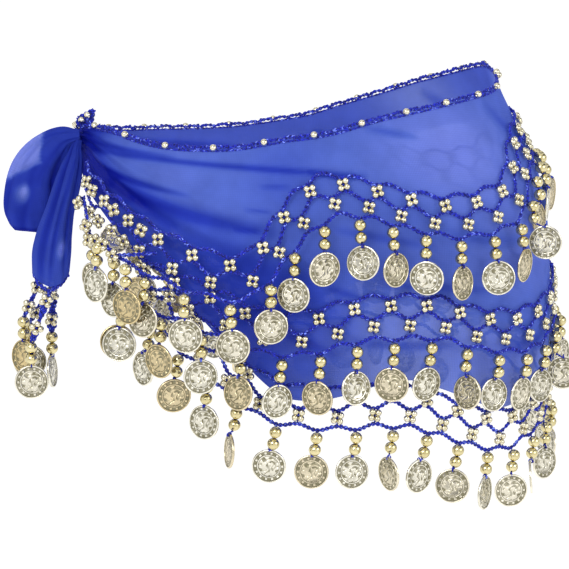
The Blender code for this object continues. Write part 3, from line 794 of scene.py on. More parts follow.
class Band:
    """One lace band: its upper chain, measured along its own run, on the front or the back."""

    def __init__(self, rows, front, rise):
        self.rows = rows
        self.front = front
        self.rise = rise
        self.stations = []
        self.runs = []
        last = None
        station = rows[0][0]
        while station <= rows[-1][0]:
            here = (girth_of(station), from_table(rows, station))
            self.stations.append(station)
            self.runs.append(0.0 if last is None else self.runs[-1] + math.dist(last, here))
            last = here
            station += STATION_STEP
        self.steps = round(self.runs[-1] / PITCH * 2)

    def at(self, step, drop):
        """Station and height of a place: half pitches along the band, mm below its chain."""
        station = between(self.runs, self.stations, self.runs[-1] * step / self.steps)
        lean = from_table(self.rows, station, LEAN)
        reach = drop / math.hypot(1, lean)
        height = from_table(self.rows, station) - reach
        return station_of(girth_of(station) + lean * reach), height

    def frame(self, station, height, lift):
        """Frame on the cloth of this stretch, raised by the gathers and the lift."""
        there = station
        if not self.front:
            there = 2 * SIDE_STATION - station
            height += back_rise(station, self.rise)
        return hips_frame(there, height, LAY_OUT + crest(there) + lift)

    def place(self, step, drop, column, more=0.0):
        """Frame of a place on the band's lace or, by the column, on its fringe."""
        station, height = self.at(step, drop)
        return self.frame(station, height, from_table(self.rows, station, column) + more)


# near the knot a pendant of the upper band hangs from each crest too, over its neighbours: how
# much further out that is, and the turn of the coins there
BUNCH_OUT = 5.5
BUNCH_TURN = 14


def bunch_out(band, step, bunched_to):
    """How much further out the chain hangs here: most at a bunched crest, least at a dip."""
    if not band.front or step > bunched_to - 1:
        return 0.0
    return BUNCH_OUT * (1 - abs((step + 1) % 2 - 1))


ARC_SAMPLES = 6


def chain_of_arcs(band, first, last, drops, even_is_crest, column, last_drop, bunched_to=0):
    """The line of a chain that swings between a drop at its crests and one at its dips."""
    line = []
    for n in range(first * ARC_SAMPLES, last * ARC_SAMPLES):
        at = n / ARC_SAMPLES
        step = n // ARC_SAMPLES
        swing = 0.5 - 0.5 * math.cos(math.pi * (at - step))
        start, end = drops if (step % 2 == 0) == even_is_crest else reversed(drops)
        more = CORD_OUT + bunch_out(band, at, bunched_to)
        line.append(band.place(at, start + (end - start) * swing, column, more))
    line.append(band.place(last, last_drop, column, CORD_OUT))
    return line


FLOWER_BEAD = bead_shape(2.15, 9, 5, 0.28)
FLOWER_REACH = 2.75
FLOWER_OUT = 1.6
# the thread of each bead, and the one that holds a flower between its chains, a reach above
# and below its middle
BEAD_PLY = (0.3, 0.2)
HOLDING_PLY = (0.32, 0.25)
HOLDING_REACH = 5.0
# near the knot on the front the upper band is drawn together, and more flowers lie over it
BUNCHED_FLOWERS = 7
# steps and drops of those that hang below the band there, on a chain of their own
HANGING_FLOWERS = ((2.7, 24), (3.1, 30), (3.7, 27), (4.3, 25), (5.1, 27))
HANGING_CHAIN_ENDS = ((1, 15.4), (7, 15.4))


def flower(beads, threads, frame, spin, tone):
    """Four small beads sewn in a square round a thread that holds them."""
    place, along, up, out = frame
    for n in range(4):
        turn = math.tau * (n + 0.5) / 4 + spin
        way = along * math.cos(turn) + up * math.sin(turn)
        across = up * math.cos(turn) - along * math.sin(turn)
        middle = place + way * FLOWER_REACH + out * FLOWER_OUT
        place_copy(beads, FLOWER_BEAD, middle, across, out, tone + 0.06 * n)
        plied_cord(threads, [(place + out, out), (middle + way * 1.2 - out, out)], *BEAD_PLY)


def lace(level, side, band):
    """The upper two chains of a band, and the flowers between its chains."""
    threads = Work()
    beads = Work()
    for row, drops in enumerate(CHAIN_DROPS):
        plied_cord(threads, chain_of_arcs(band, row, band.steps - row, drops, row == 0, LIFT_LACE,
                                          drops[0]))
    bunched = level == "upper" and band.front
    for step in range(1, band.steps):
        drop, other = DROP_FLOWER_1, DROP_FLOWER_2
        if step % 2 == 0:
            drop, other = other, drop
        plied_cord(threads, [band.place(step, drop + way * HOLDING_REACH, LIFT_LACE, CORD_OUT)
                             for way in (-1, 1)], *HOLDING_PLY)
        flower(beads, threads, band.place(step, drop, LIFT_LACE, 0.4), 0.32 * math.sin(3.1 * step),
               0.12 + 0.1 * math.sin(1.3 * step))
        if bunched and step < BUNCHED_FLOWERS:
            flower(beads, threads, band.place(step, other, LIFT_LACE, 2.6),
                   0.6 * math.sin(1.7 * step), 0.2)
    if bunched:
        start, end = [band.place(*ends, LIFT_LACE, CORD_OUT) for ends in HANGING_CHAIN_ENDS]
        hung = [band.place(*at, LIFT_FRINGE, 6.5) for at in HANGING_FLOWERS]
        for at in HANGING_FLOWERS:
            flower(beads, threads, band.place(*at, LIFT_FRINGE, 7.5), at[0], 0.25)
        plied_cord(threads, [start, *hung, end])
    threads.piece(f"crochet_{level}_{side}", yarn, "crochet_thread", f"lace_{level}_{side}")
    beads.piece(f"flowers_{level}_{side}", small_gilding, "gilt", value_name="tone")

# ================================================================ fringe of beads and coins
# The lowest chain of each band carries a pendant in every dip: two big gilt plastic beads on
# the yarn, and a stamped coin on a ring of thread. The coins are thin sheet steel with an
# antiqued pale gilt finish. They wear a plain pattern: two rims, a ring of dots, a whorl.

COIN_RADIUS = 10.9
COIN_DROP = 26.4
BEAD_DROPS = (4.2, 11.6)
BEAD_OUT = 4.2
COIN_OUT = 0.9
SWAY_TILT = 0.05
SWAY_TURN = 32
TILT_STEP = 2.4
TURN_STEP = 1.7
EDGEWAYS_TURN = 68
BIG_BEAD = bead_shape(3.95, 18, 12, 0.24, 0.95)
COIN_DOTS = 14
COIN_SIDES = 3 * COIN_DOTS
COIN_HALF = 0.45
# where the thread passes through a coin, above its middle
COIN_HOLE_UP = 9.2

# share of the radius, height over the blank, height of the dots
COIN_FACE = (
    (0.99, 0.05, 0), (0.965, 0.32, 0), (0.91, 0.34, 0), (0.88, 0.04, 0), (0.845, 0.02, 0),
    (0.79, 0.02, 0.34), (0.735, 0.02, 0), (0.70, 0.20, 0), (0.665, 0.20, 0), (0.63, 0.04, 0),
    (0.32, 0.12, 0),
)


def coin_shape():
    """One coin, standing up and facing -y, its middle at the origin: its points and faces."""
    outline = [(share, COIN_HALF + level, dots) for share, level, dots in reversed(COIN_FACE)]
    outline.append((1.0, 0.0, 0.0))
    outline += [(share, -COIN_HALF - level, -dots) for share, level, dots in COIN_FACE]
    points = []
    for n in range(COIN_SIDES):
        turn = math.tau * n / COIN_SIDES
        points += [(COIN_RADIUS * share * math.cos(turn), depth + dots * (n % 3 == 0),
                    COIN_RADIUS * share * math.sin(turn)) for share, depth, dots in outline]
    return np.array(points), tube_faces(COIN_SIDES, len(outline))


COIN = coin_shape()
big_gilding = make_gilding("metallised_big_bead", "EFE4B6", "A8985A", 0.12)


# Stamped sheet steel, brassed and antiqued: pale and bright where it is raised and rubbed,
# dark olive grey in the hollows, and some coins browner than others. The stamped pattern is
# drawn on the coin's own face: two rims, a ring of dots between them, and a whorl inside.
# share of the radius, then how much the rims, the dots and the whorl show there
COIN_RINGS = (
    (0.0, 0, 0, 1), (0.58, 0, 0, 1), (0.61, 0, 0, 0), (0.63, 1, 0, 0), (0.675, 1, 0, 0),
    (0.70, 0, 0, 0), (0.73, 0, 1, 0), (0.84, 0, 1, 0), (0.87, 0, 0, 0), (0.88, 0, 0, 0),
    (0.905, 1, 0, 0), (1.0, 1, 0, 0),
)


def make_coin_metal():
    material, tree = new_material("antiqued_stamped_steel")
    tone = add(tree, "Attribute", attribute_name="tone").outputs["Fac"]
    face = add(tree, "UVMap", uv_map="flat")
    away = add(tree, "VectorMath", {0: face}, operation="LENGTH").outputs["Value"]
    share = add(tree, "Math", {0: away, 1: COIN_RADIUS * MM}, operation="DIVIDE")
    rings = add(tree, "ValToRGB", {0: share})
    set_stops(rings, [(at, (*shows, 1.0)) for at, *shows in COIN_RINGS])
    shown = add(tree, "SeparateColor", {0: rings}).outputs
    parts = add(tree, "SeparateXYZ", {0: face}).outputs
    turn = add(tree, "Math", {0: parts[1], 1: parts[0]}, operation="ARCTAN2")
    beat = add(tree, "Math", {0: turn, 1: float(COIN_DOTS)}, operation="MULTIPLY")
    wave = add(tree, "Math", {0: beat}, operation="COSINE")
    dots = add(tree, "MapRange", {"Value": wave, "From Min": -0.1, "From Max": 0.6})
    curls = add(tree, "TexNoise", {
        "Vector": face, "Scale": 1 / (5.2 * MM), "Detail": 0.5, "Distortion": 1.6})
    whorl = add(tree, "MapRange", {"Value": curls, "From Min": 0.37, "From Max": 0.50})
    stamped = shown[0]
    for area, pattern in ((shown[1], dots), (shown[2], whorl)):
        stamped = add(tree, "Math", {0: area, 1: pattern, 2: stamped}, operation="MULTIPLY_ADD")
    place = add(tree, "TexCoord").outputs["Object"]
    stains = add(tree, "TexNoise", {"Vector": place, "Scale": 1 / (5 * MM), "Detail": 4.0})
    rubbed = add(tree, "MapRange", {
        "Value": stains, "From Min": 0.3, "From Max": 0.7, "To Min": -0.15, "To Max": 0.3})
    bright = add(tree, "Math", {0: stamped, 1: 0.8, 2: rubbed}, operation="MULTIPLY_ADD",
                 use_clamp=True)
    metal = add(tree, "Mix", {0: tone, 6: colour("F2EEDF"), 7: colour("D6C190")},
                data_type="RGBA")
    film = add(tree, "Mix", {0: bright, 6: colour("858067"), 7: metal.outputs[2]},
               data_type="RGBA")
    rough = add(tree, "MapRange", {"Value": bright, "To Min": 0.42, "To Max": 0.2})
    bump = add(tree, "Bump", {"Strength": 0.9, "Distance": 0.0005, "Height": stamped})
    surface = add(tree, "BsdfPrincipled", {
        "Base Color": film.outputs[2], "Metallic": 1.0, "Roughness": rough, "Normal": bump})
    add(tree, "OutputMaterial", {"Surface": surface})
    return material


coin_metal = make_coin_metal()

# the thread through the beads and the one through the coin, which makes a ring
BEADED_PLY = (0.42, 0.35)
RING_PLY = (0.3, 0.15)
RING_SIDES = 6
RING_UP = 1.3
RING_DEEP = 1.5
THREAD_PAST_BEADS = 3.0


class Pendants:
    """The threads, big beads and coins of one fringe in the making."""

    def __init__(self):
        self.threads = Work()
        self.beads = Work()
        self.coins = Work()

    def hang(self, frame_at, turn, seed, coin_out=COIN_OUT):
        """Two beads and a coin below a place: frame_at gives the frame at a drop and an out."""
        line = [frame_at(0.0, CORD_OUT)]
        for n, drop in enumerate(BEAD_DROPS):
            place, along, _, out = frame_at(drop, BEAD_OUT)
            line.append((place, out))
            tip = along * (0.25 * math.sin(seed * 5.3 + n * 2))
            tone = 0.05 + 0.15 * (0.5 + 0.5 * math.sin(seed * 3.7 + n))
            place_copy(self.beads, BIG_BEAD, place, UP + tip, out, tone)
        angle = math.radians(turn)
        place, along, _, out = frame_at(COIN_DROP, coin_out)
        side = along * math.cos(angle) + out * math.sin(angle)
        face = out * math.cos(angle) - along * math.sin(angle)
        tone = 0.5 + 0.5 * math.sin(seed * 7.9 + 1.0)
        nod = UP + face * (0.10 * math.sin(seed * 4.1))
        place_copy(self.coins, COIN, place, nod, -face, tone ** 3)
        hole = place + UP * COIN_HOLE_UP
        end = frame_at(BEAD_DROPS[-1] + THREAD_PAST_BEADS, BEAD_OUT)
        line += [end, (hole + face * RING_DEEP + UP * 0.6, end[-1])]
        plied_cord(self.threads, line, *BEADED_PLY)
        ring = []
        for n in range(RING_SIDES + 1):
            swing = math.tau * n / RING_SIDES
            rise = RING_UP * (1 + math.cos(swing))
            ring.append((hole + UP * rise + face * (RING_DEEP * math.sin(swing)), side))
        plied_cord(self.threads, ring, *RING_PLY)

    def pieces(self, name, node):
        self.threads.piece(f"crochet_chain_{name}", yarn, "crochet_thread", node)
        self.beads.piece(f"big_beads_{name}", big_gilding, "gilt", value_name="tone")
        self.coins.piece(f"coins_{name}", coin_metal, "gilt", value_name="tone", smooth_angle=50)


def last_dip(band):
    """The last step of a band at which its lowest chain dips."""
    return band.steps if band.steps % 2 else band.steps - 1


def fringe(level, side, band, first, bunched_to, lean, phase, edgeways):
    """The lowest chain of a band from its first step, with a pendant in each of its dips."""
    pendants = Pendants()
    crest_drop, dip_drop = LAST_CHAIN_DROPS
    last = last_dip(band)
    plied_cord(pendants.threads, chain_of_arcs(band, first, last, LAST_CHAIN_DROPS, True,
                                               LIFT_FRINGE, dip_drop, bunched_to))
    for step in range(first, last + 1):
        bunched = band.front and step < bunched_to
        if step % 2 == 0 and not bunched:
            continue
        station, height = band.at(step, dip_drop if step % 2 else crest_drop)
        lift = from_table(band.rows, station, LIFT_FRINGE) + bunch_out(band, step, bunched_to)
        turn = BUNCH_TURN if bunched else SWAY_TURN * math.sin(TURN_STEP * step + phase)
        if step in edgeways:
            turn = EDGEWAYS_TURN
        tilt = lean + SWAY_TILT * math.sin(TILT_STEP * step + phase)

        def frame_at(drop, out):
            there = station_of(girth_of(station) + tilt * drop)
            return band.frame(there, height - drop, lift + out)

        coin_out = COIN_OUT + COIN_RADIUS * abs(math.sin(math.radians(turn)))
        pendants.hang(frame_at, turn if band.front else -turn, step + phase, coin_out)
    pendants.pieces(f"{level}_{side}", f"fringe_{level}_{side}")


# first step, step that those nearer the knot are bunched to, lean, start of the sway's waves,
# steps whose coin hangs nearly edge-on
FRINGES = {
    "upper": (3, 8, 0.0, 0.4, (31,)),
    "middle": (1, 0, -0.08, 1.9, (19, 27)),
    "hem": (1, 0, -0.14, 3.1, (9, 17)),
}

for side in ("front", "back"):
    for level, (first, bunched_to, lean, phase, edgeways) in FRINGES.items():
        band = Band(BANDS[level], side == "front", RISES[level])
        lace(level, side, band)
        fringe(level, side, band, first, bunched_to, lean, phase, edgeways)

# For each of a band's three chains where it goes on round the right side: how many loops it
# makes there, how far they dip, and the shares of the way at which a flower hangs below it.
SIDE_CHAINS = ((1, 3.2, (0.5,)), (2, 3.2, (0.25, 0.75)), (2, -3.2, ()))
SIDE_FLOWER_DROP = 6.6
SIDE_COIN_TURN = -20.0


def round_the_side(level):
    """Chains, flowers and a pendant that carry a band on round the right side."""
    front, back = (Band(BANDS[level], is_front, RISES[level]) for is_front in (True, False))

    def frame_on(station, height, out):
        band = front if station <= SIDE_STATION else back
        return band.frame(min(station, 2 * SIDE_STATION - station), height, out)

    pendants = Pendants()
    beads = Work()
    ends = ((front.steps, CHAIN_DROPS[0][0]), (front.steps - 1, CHAIN_DROPS[1][0]),
            (last_dip(front), LAST_CHAIN_DROPS[1]))
    for row, (loops, dip, flowers) in enumerate(SIDE_CHAINS):
        station, height = front.at(*ends[row])
        run = 2 * (SIDE_STATION - station)
        line = []
        for n in range(loops * ARC_SAMPLES + 1):
            share = n / (loops * ARC_SAMPLES)
            drop = dip * math.sin(math.pi * loops * share) ** 2
            line.append(frame_on(station + run * share, height - drop, CORD_OUT))
        plied_cord(pendants.threads, line)
        for share in flowers:
            place = frame_on(station + run * share, height - SIDE_FLOWER_DROP, 0.4)
            flower(beads, pendants.threads, place, 0.4 * math.sin(9 * share + row), 0.15)

    def frame_at(drop, out):
        return frame_on(SIDE_STATION, height - drop, out)

    pendants.hang(frame_at, SIDE_COIN_TURN, len(level))
    pendants.pieces(f"{level}_side", f"fringe_{level}_front")
    beads.piece(f"flowers_{level}_side", small_gilding, "gilt", value_name="tone")


for level in BANDS:
    round_the_side(level)

# ================================================================ the tie
# Both ends of the cloth are tied over each other at the left side. The cloth is gathered into
# the knot, a loop of it is pulled out to the side, and one end hangs below as a tail.

KNOT_HEIGHT = -2.5
KNOT_OUT = 7.6
# height of the section, half length along the hips, half depth
KNOT = ((-11.5, 3.0, 2.5), (-9.0, 7.0, 5.0), (-4.0, 10.5, 7.5), (1.0, 8.5, 6.4), (6.0, 8.0, 6.4),
        (9.5, 6.0, 5.0), (11.5, 3.0, 2.5))
# x, y, z of the middle of each section, half width, half depth
LOOP = ((-138.8, -56.2, 5.4, 3.5, 3.0), (-142.5, -56.2, 5.0, 4.6, 3.5),
        (-148.8, -56.2, 3.8, 7.2, 4.0), (-155.0, -54.6, -1.0, 10.5, 5.5),
        (-162.1, -50.6, -10.3, 14.5, 8.5), (-167.2, -47.0, -21.1, 17.0, 9.5),
        (-169.0, -46.0, -32.0, 18.5, 9.0), (-171.0, -46.0, -44.5, 18.5, 9.0),
        (-172.0, -46.0, -51.5, 16.0, 7.5), (-172.5, -46.0, -57.0, 10.5, 4.5))
TAIL = ((-141.2, -59.2, -2.4, 3.3, 2.8), (-142.0, -61.4, -8.0, 4.9, 4.4),
        (-143.8, -64.0, -15.5, 6.6, 5.6), (-146.6, -66.2, -26.5, 7.8, 7.4),
        (-150.6, -66.5, -40.0, 8.5, 8.5), (-154.6, -66.0, -56.0, 10.8, 10.0),
        (-156.6, -66.0, -68.0, 12.1, 11.0), (-157.4, -66.0, -80.0, 11.7, 11.0))
SLEEVE_SIDES = 84
SLEEVE_ROWS = 56
PLEATS = 4
PLEAT_DEPTH = 0.10
FINE_PLEATS = 11
FINE_PLEAT_DEPTH = 0.05
SLEEVE_TWIST = 0.35
# the rolled sheet laps over itself: where its edge starts, how far it laps and stands out
LAP_START = -2.3
LAP_TURN = 0.5
LAP_OUT = 0.05

# Folds that run along a sleeve: turn round it at the start and the end, share of the way
# down where it starts and ends, half width as a turn, and depth as a share of the radius.
LOOP_FOLDS = (
    (-2.45, -2.20, 0.20, 1.05, 0.20, 0.17),
    (-1.90, -1.70, 0.05, 0.62, 0.13, 0.08),
    (-1.45, -1.15, 0.42, 1.10, 0.16, 0.10),
    (-0.95, -0.50, 0.12, 0.50, 0.08, 0.04),
    (-0.55, -0.35, 0.58, 1.10, 0.16, 0.09),
    (0.60, 0.90, 0.10, 0.80, 0.18, 0.10),
    (1.40, 1.70, 0.30, 1.05, 0.16, 0.12),
    (2.30, 2.50, 0.10, 0.90, 0.18, 0.12),
)
TAIL_FOLDS = (
    (-0.70, -1.05, -0.05, 1.05, 0.20, 0.15),
    (-1.75, -1.55, 0.25, 1.05, 0.14, 0.09),
    (-2.50, -2.30, 0.05, 0.95, 0.16, 0.11),
    (0.70, 0.80, 0.10, 1.05, 0.18, 0.12),
    (1.70, 1.50, 0.20, 1.05, 0.16, 0.10),
    (2.60, 2.40, 0.05, 0.90, 0.18, 0.12),
)
# thicknesses that a fold as deep as the whole radius adds: partly the cloth it gathers up,
# partly painted shade in its trough
FOLD_GATHER_AND_SHADE = 7


def fold_depth(folds, turn, share):
    """Depth of all the folds at one place of a sleeve, as a share of its radius."""
    total = 0.0
    for start, end, first, last, width, depth in folds:
        way = (share - first) / (last - first)
        if 0 < way < 1:
            off = (turn - start - (end - start) * way + math.pi) % math.tau - math.pi
            total += depth * math.exp(-(off / width) ** 2) * math.sin(math.pi * way) ** 0.5
    return total


def pleat(turn, twist):
    """How far the gathered cloth stands out here, as a share of its radius."""
    return (1 + PLEAT_DEPTH * math.cos(PLEATS * turn + twist)
            + FINE_PLEAT_DEPTH * math.sin(FINE_PLEATS * turn + 2.3 * twist))


# mm of sleeve that one section of its table takes up, on its flat map
SECTION_LENGTH = 12


def sleeve(name, rows, folds, layers_at, node, tongue=0.0):
    """Gathered cloth of the tie as a thin sheet rolled into a pleated sleeve."""
    keyed = [(n, *row) for n, row in enumerate(rows)]
    points = []
    values = []
    flat = []
    ahead = Vector((0.0, 1.0, 0.0))

    def middle_at(at):
        return Vector([from_table(keyed, at, column) for column in (1, 2, 3)])

    for i in range(SLEEVE_SIDES + 1):
        turn = LAP_START + (math.tau + LAP_TURN) * i / SLEEVE_SIDES
        for k in range(SLEEVE_ROWS + 1):
            share = k / SLEEVE_ROWS
            at = (len(rows) - 1) * share
            along = ahead.cross(middle_at(at + 0.2) - middle_at(at - 0.2)).normalized()
            half_width = from_table(keyed, at, 4)
            half_depth = from_table(keyed, at, 5)
            folded = fold_depth(folds, turn, share)
            stand = pleat(turn, SLEEVE_TWIST * at) + LAP_OUT * (i / SLEEVE_SIDES - 0.5) - folded
            lower = tongue * share ** 4 * math.sin(turn) ** 2
            points.append(middle_at(at) + along * (half_width * stand * math.cos(turn))
                          + ahead * (half_depth * stand * math.sin(turn)) - UP * lower)
            # folds deepen the blue: partly cloth gathered up, partly painted shade
            values.append(layers_at(turn, share) + FOLD_GATHER_AND_SHADE * folded)
            flat.append((turn * half_width, at * SECTION_LENGTH))
    work = Work()
    work.add(points, grid_faces(SLEEVE_SIDES + 1, SLEEVE_ROWS + 1), values, flat)
    return work.piece(name, chiffon, "chiffon", node, "thicknesses_and_painted_shading")


# how far down the loop one thickness bulges out alone, how far out on it that starts there,
# how fast it narrows up and down from there, how sharp its edge is, thicknesses less in it
BULGE_MIDDLE = 0.465
BULGE_START = 0.02
BULGE_NARROWS = 6.6
BULGE_SHARPNESS = 34
BULGE_LESS = 1.8
# small gaps between folds that let the light through: how far out, how far down, thicknesses
# less in them
LOOP_GAP = (0.37, 0.67, 2.0)
TAIL_GAP = (-0.50, 0.80, 1.65)
GAP_WIDTH = 0.23
GAP_HEIGHT = 0.058
# share of the loop's length from which its end is rolled in, thicknesses more there
ROLLED_FROM = 0.93
ROLLED_IN = 1.3


def gap_between_folds(gap, out, share):
    gap_out, gap_down, less = gap
    off = ((out - gap_out) / GAP_WIDTH) ** 2 + ((share - gap_down) / GAP_HEIGHT) ** 2
    return less * math.exp(-off * off)


LOOP_THICKNESSES = 2.3


def loop_layers(turn, share):
    """Gathered double, but for the bulge on its outer side and a small gap."""
    out = math.cos(turn)
    bound = BULGE_START + BULGE_NARROWS * abs(share - BULGE_MIDDLE)
    bulge = 1 / (1 + math.exp(min((bound - out) * BULGE_SHARPNESS, 60)))
    gap = gap_between_folds(LOOP_GAP, out, share) * (1 - bulge)
    rolled = ROLLED_IN * ease((share - ROLLED_FROM) / 0.05)
    return LOOP_THICKNESSES - (BULGE_LESS + 0.1 * out) * bulge - gap + rolled


# at the top, and how many less at the end
TAIL_THICKNESSES = 2.5
TAIL_LESS = 0.7


def tail_layers(turn, share):
    """Gathered closer at the top than at the hanging end, with a small gap."""
    gap = gap_between_folds(TAIL_GAP, math.cos(turn), share)
    return TAIL_THICKNESSES - TAIL_LESS * share - gap


# the middle of the tail's end hangs this much lower than its sides
TONGUE = 9
# the tail's top is tucked in under the loop
TUCK = (-139.8, -56.8, 3.0, 2.3, 2.0)

loop = sleeve("chiffon_loop", LOOP, LOOP_FOLDS, loop_layers, "tie_loop")
tail = sleeve("chiffon_tail", (TUCK, *TAIL), TAIL_FOLDS, tail_layers, "tie_tail", TONGUE)

KNOT_SIDES = 72
KNOT_ROWS = 40
# the knot's cloth ends lower than its solid: its height, and the solid's height for each mm of
# its own above its foot
KNOT_CLOTH_HEIGHT = 20.0
KNOT_STRETCH = 1.15
KNOT_THICKNESSES = 5.0
# how many pleats round it, how deep as a share of its radius, how they slant
KNOT_PLEATS = ((9, 0.07, 0.25), (17, 0.04, 0.0))


def knot_of_cloth():
    """The knot's own cloth: a waisted lump with pleats that run into its middle."""
    middle, along, _, out = hips_frame(KNOT_STATION, KNOT_HEIGHT, KNOT_OUT)
    foot = KNOT[0][0]
    points = []
    flat = []
    for i in range(KNOT_SIDES):
        turn = math.tau * i / KNOT_SIDES
        for k in range(KNOT_ROWS + 1):
            height = foot + KNOT_CLOTH_HEIGHT * k / KNOT_ROWS
            level = foot + KNOT_STRETCH * (height - foot)
            half_length = from_table(KNOT, level)
            half_depth = from_table(KNOT, level, 2)
            fold = 1 + sum(deep * math.cos(count * turn + slant * height)
                           for count, deep, slant in KNOT_PLEATS)
            points.append(middle + UP * height + along * (half_length * fold * math.cos(turn))
                          + out * (half_depth * fold * math.sin(turn)))
            flat.append((turn * half_length, height))
    work = Work()
    work.add(points, tube_faces(KNOT_SIDES, KNOT_ROWS + 1, flipped=True), KNOT_THICKNESSES, flat)
    work.piece("chiffon_knot", chiffon, "chiffon", "knot", "thicknesses_and_painted_shading")


knot_of_cloth()

# ================================================================ tip and tail fringe
# The cloth's other end peeps out of the top of the knot as a crocheted corner. The tail ends
# in the same crochet, with a few beaded strands and their coins.

FACING = Vector((0.0, -1.0, 0.0))
ACROSS = Vector((1.0, 0.0, 0.0))
TIP_CORNERS = ((-141.0, 11.0), (-132.6, 9.4), (-130.5, 21.2), (-140.6, 16.0))
TIP_CORDS = ((0, 1), (1, 2), (2, 3), (3, 0), (3, 1))
TIP_Y = -44.5
TIP_ROWS = 9
TIP_PLY = (0.5, 0.5)
# share of the way along the tip's foot and up it, for each of its beads
TIP_BEADS = ((0.25, 0.62), (0.62, 0.86))
TIP_BEAD_OUT = 3.2


def tip():
    """Rows of close stitches that fill the corner, inside a border of the same chain."""
    threads = Work()
    beads = Work()
    corners = [Vector((x, TIP_Y, height)) for x, height in TIP_CORNERS]
    for ends in TIP_CORDS:
        plied_cord(threads, [(corners[end] + FACING, FACING) for end in ends])

    def inside(across, up, out):
        foot = corners[0].lerp(corners[1], across)
        return foot.lerp(corners[3].lerp(corners[2], across), up) + FACING * out

    for n in range(TIP_ROWS):
        across = (n + 0.5) / TIP_ROWS
        lean = 0.06 * math.sin(2.1 * n)
        over = 1.04 + 0.05 * math.sin(3.3 * n)
        line = [(inside(across + lean * k, over * k, 0.6), FACING) for k in (0, 0.5, 1)]
        plied_cord(threads, line, *TIP_PLY)
    for across, up in TIP_BEADS:
        place = inside(across, up, TIP_BEAD_OUT)
        place_copy(beads, FLOWER_BEAD, place, ACROSS + UP * 0.5, FACING, 0.0)
    threads.piece("crochet_tip", yarn, "crochet_thread", "tie_tip")
    beads.piece("tip_beads", small_gilding, "gilt", value_name="tone")


tip()

TAIL_LOOPS = 8
TAIL_LOOP_POINTS = 3
TAIL_LOOP_DIP = 0.8
TAIL_CHAIN_DROP = 2.2
TAIL_CHAIN_SHARE = 0.94
TAIL_STRAND_RISE = 9
# x and y of the strand's end, length of its chain, turn of its coin in degrees
TAIL_STRANDS = ((-172.3, -54, 44, 34), (-174.5, -66, 38, -50), (-169, -75, 53, -60),
                (-158.3, -57, 49.5, -75))
# how many loops each strand's chain makes, how far they swing, how far the two cords lie one
# over the other, and the shares of the way down at which its flowers sit
STRAND_LOOPS = 4
STRAND_SWING = 2.0
STRAND_APART = 0.6
STRAND_FLOWERS = (0.17, 0.72)
# the strands from this one on have a cord down their middle too
FIRST_THICK_STRAND = 2


def open_chain(work, start, end, out):
    """Two cords that part and meet again on the way down, as crocheted loops do."""
    along = UP.cross(out).normalized()
    for way in (-1, 1):
        line = []
        for n in range(STRAND_LOOPS * ARC_SAMPLES + 1):
            share = n / (STRAND_LOOPS * ARC_SAMPLES)
            swing = way * STRAND_SWING * math.sin(math.pi * STRAND_LOOPS * share)
            line.append((start.lerp(end, share) + along * swing + out * (STRAND_APART * way), out))
        plied_cord(work, line)


def tail_fringe():
    x, y, z, half_width, half_depth = TAIL[-1]
    pendants = Pendants()
    small = Work()
    rim = []
    for n in range(TAIL_LOOPS * TAIL_LOOP_POINTS + 1):
        turn = math.tau * n / (TAIL_LOOPS * TAIL_LOOP_POINTS)
        out = Vector((math.cos(turn), math.sin(turn), 0.0))
        reach = Vector((out.x * half_width, out.y * half_depth, 0.0)) * TAIL_CHAIN_SHARE
        dip = TAIL_LOOP_DIP * math.cos(turn * TAIL_LOOPS) + TONGUE * math.sin(turn) ** 2
        rim.append((Vector((x, y, z - TAIL_CHAIN_DROP - dip)) + reach, out))
    plied_cord(pendants.threads, rim)
    for number, (end_x, end_y, length, turn) in enumerate(TAIL_STRANDS):
        end = Vector((end_x, end_y, z - length + TAIL_STRAND_RISE))
        start = min((place for place, _ in rim), key=lambda place: (place - end).length)
        out = Vector((end_x - x, end_y - y, 0)).normalized()
        along = UP.cross(out)
        open_chain(pendants.threads, start, end, out)
        if number >= FIRST_THICK_STRAND:
            plied_cord(pendants.threads, [(start.lerp(end, n / 6), out) for n in range(7)])
        for share in STRAND_FLOWERS:
            frame = (start.lerp(end, share) + FACING * 2.0, ACROSS, UP, FACING)
            flower(small, pendants.threads, frame, 0.5 * math.sin(2.1 * number + 5 * share), 0.1)

        def frame_at(drop, _):
            return end + out - UP * drop, along, UP, out

        pendants.hang(frame_at, turn, 11.0 + number)
    pendants.pieces("tail", "fringe_tail")
    small.piece("small_beads_tail", small_gilding, "gilt", value_name="tone")


tail_fringe()

# ================================================================ studio
# A white floor of painted board, far below the scarf, in a room that is lit softly from all
# round, with a large soft box high at the front left and a weaker one at the right.

FLOOR_DEPTH = 1.0
FLOOR_HALF = 60
floor = new_object("studio_floor", [(x * FLOOR_HALF, y * FLOOR_HALF, -FLOOR_DEPTH)
                                    for x, y in ((-1, -1), (1, -1), (1, 1), (-1, 1))],
                   [(0, 1, 2, 3)])
board, tree = new_material("painted_board")
paint = add(tree, "BsdfPrincipled", {
    "Base Color": colour("F4F4F4"), "Roughness": 0.9, "Emission Color": colour("FFFFFF"),
    "Emission Strength": 0.45})
add(tree, "OutputMaterial", {"Surface": paint})
floor.data.materials.append(board)

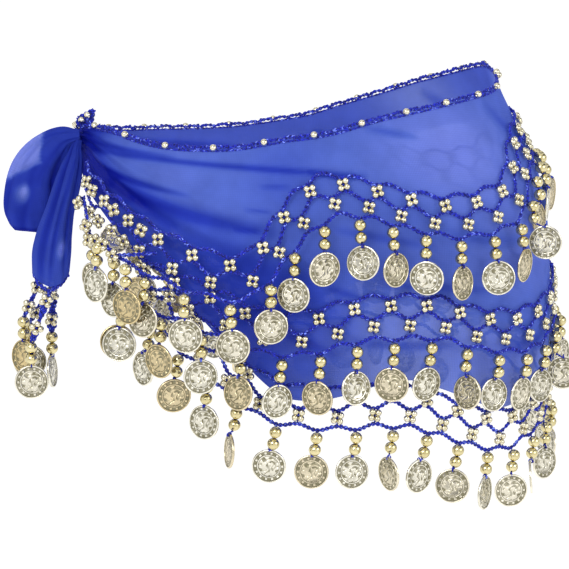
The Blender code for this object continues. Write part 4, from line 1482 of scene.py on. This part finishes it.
world = bpy.data.worlds.new("studio")
world.use_nodes = True
bpy.context.scene.world = world
tree = world.node_tree
tree.nodes.clear()
place = add(tree, "TexCoord").outputs["Generated"]
parts = add(tree, "SeparateXYZ", {0: place})
height = add(tree, "MapRange", {
    "Value": parts.outputs[2], "From Min": -0.2, "From Max": 0.9, "To Min": 0.35, "To Max": 0.95})
room = add(tree, "Background", {"Strength": height})
white = add(tree, "Background", {"Strength": 1.0})
ray = add(tree, "LightPath")
# what the metal reflects: bright screens with dark gaps between them
screens = add(tree, "TexNoise", {"Vector": place, "Scale": 2.3, "Detail": 1.0})
lit = add(tree, "MapRange", {
    "Value": screens, "From Min": 0.44, "From Max": 0.54, "To Min": 0.12, "To Max": 1.5})
mirrored_room = add(tree, "Background", {"Strength": lit})
seen = add(tree, "MixShader", {0: ray.outputs["Is Glossy Ray"], 1: room, 2: mirrored_room})
both = add(tree, "MixShader", {0: ray.outputs["Is Camera Ray"], 1: seen, 2: white})
add(tree, "OutputWorld", {"Surface": both})


HIPS_MIDDLE = Vector((0.0, 0.0, -0.09))


def soft_box(name, place, size, power):
    light = bpy.data.lights.new(name, "AREA")
    light.size = size
    light.energy = power
    lamp = bpy.data.objects.new(name, light)
    lamp.location = place
    lamp.rotation_euler = (HIPS_MIDDLE - lamp.location).to_track_quat("-Z", "Y").to_euler()
    bpy.context.scene.collection.objects.link(lamp)


soft_box("soft_box_front", (-0.7, -1.7, 0.9), 0.8, 16)
soft_box("soft_box_right", (1.6, -1.0, 0.5), 1.0, 8)

# half the width of the view and the lens's focal length, both in pixels
HALF_VIEW = 284.5
FOCAL_LENGTH = 2400
LOOK_DOWN = math.radians(8.4)
DISTANCE = 1.6
target = Vector((-0.00833, 0.0, -0.09872))
lens = bpy.data.cameras.new("camera")
lens.angle = 2 * math.atan(HALF_VIEW / FOCAL_LENGTH)
camera = bpy.data.objects.new("camera", lens)
camera.location = target + Vector((0, -math.cos(LOOK_DOWN), math.sin(LOOK_DOWN))) * DISTANCE
camera.rotation_euler = (target - camera.location).to_track_quat("-Z", "Y").to_euler()
bpy.context.scene.collection.objects.link(camera)
bpy.context.scene.camera = camera
bpy.context.scene.view_settings.view_transform = "Standard"
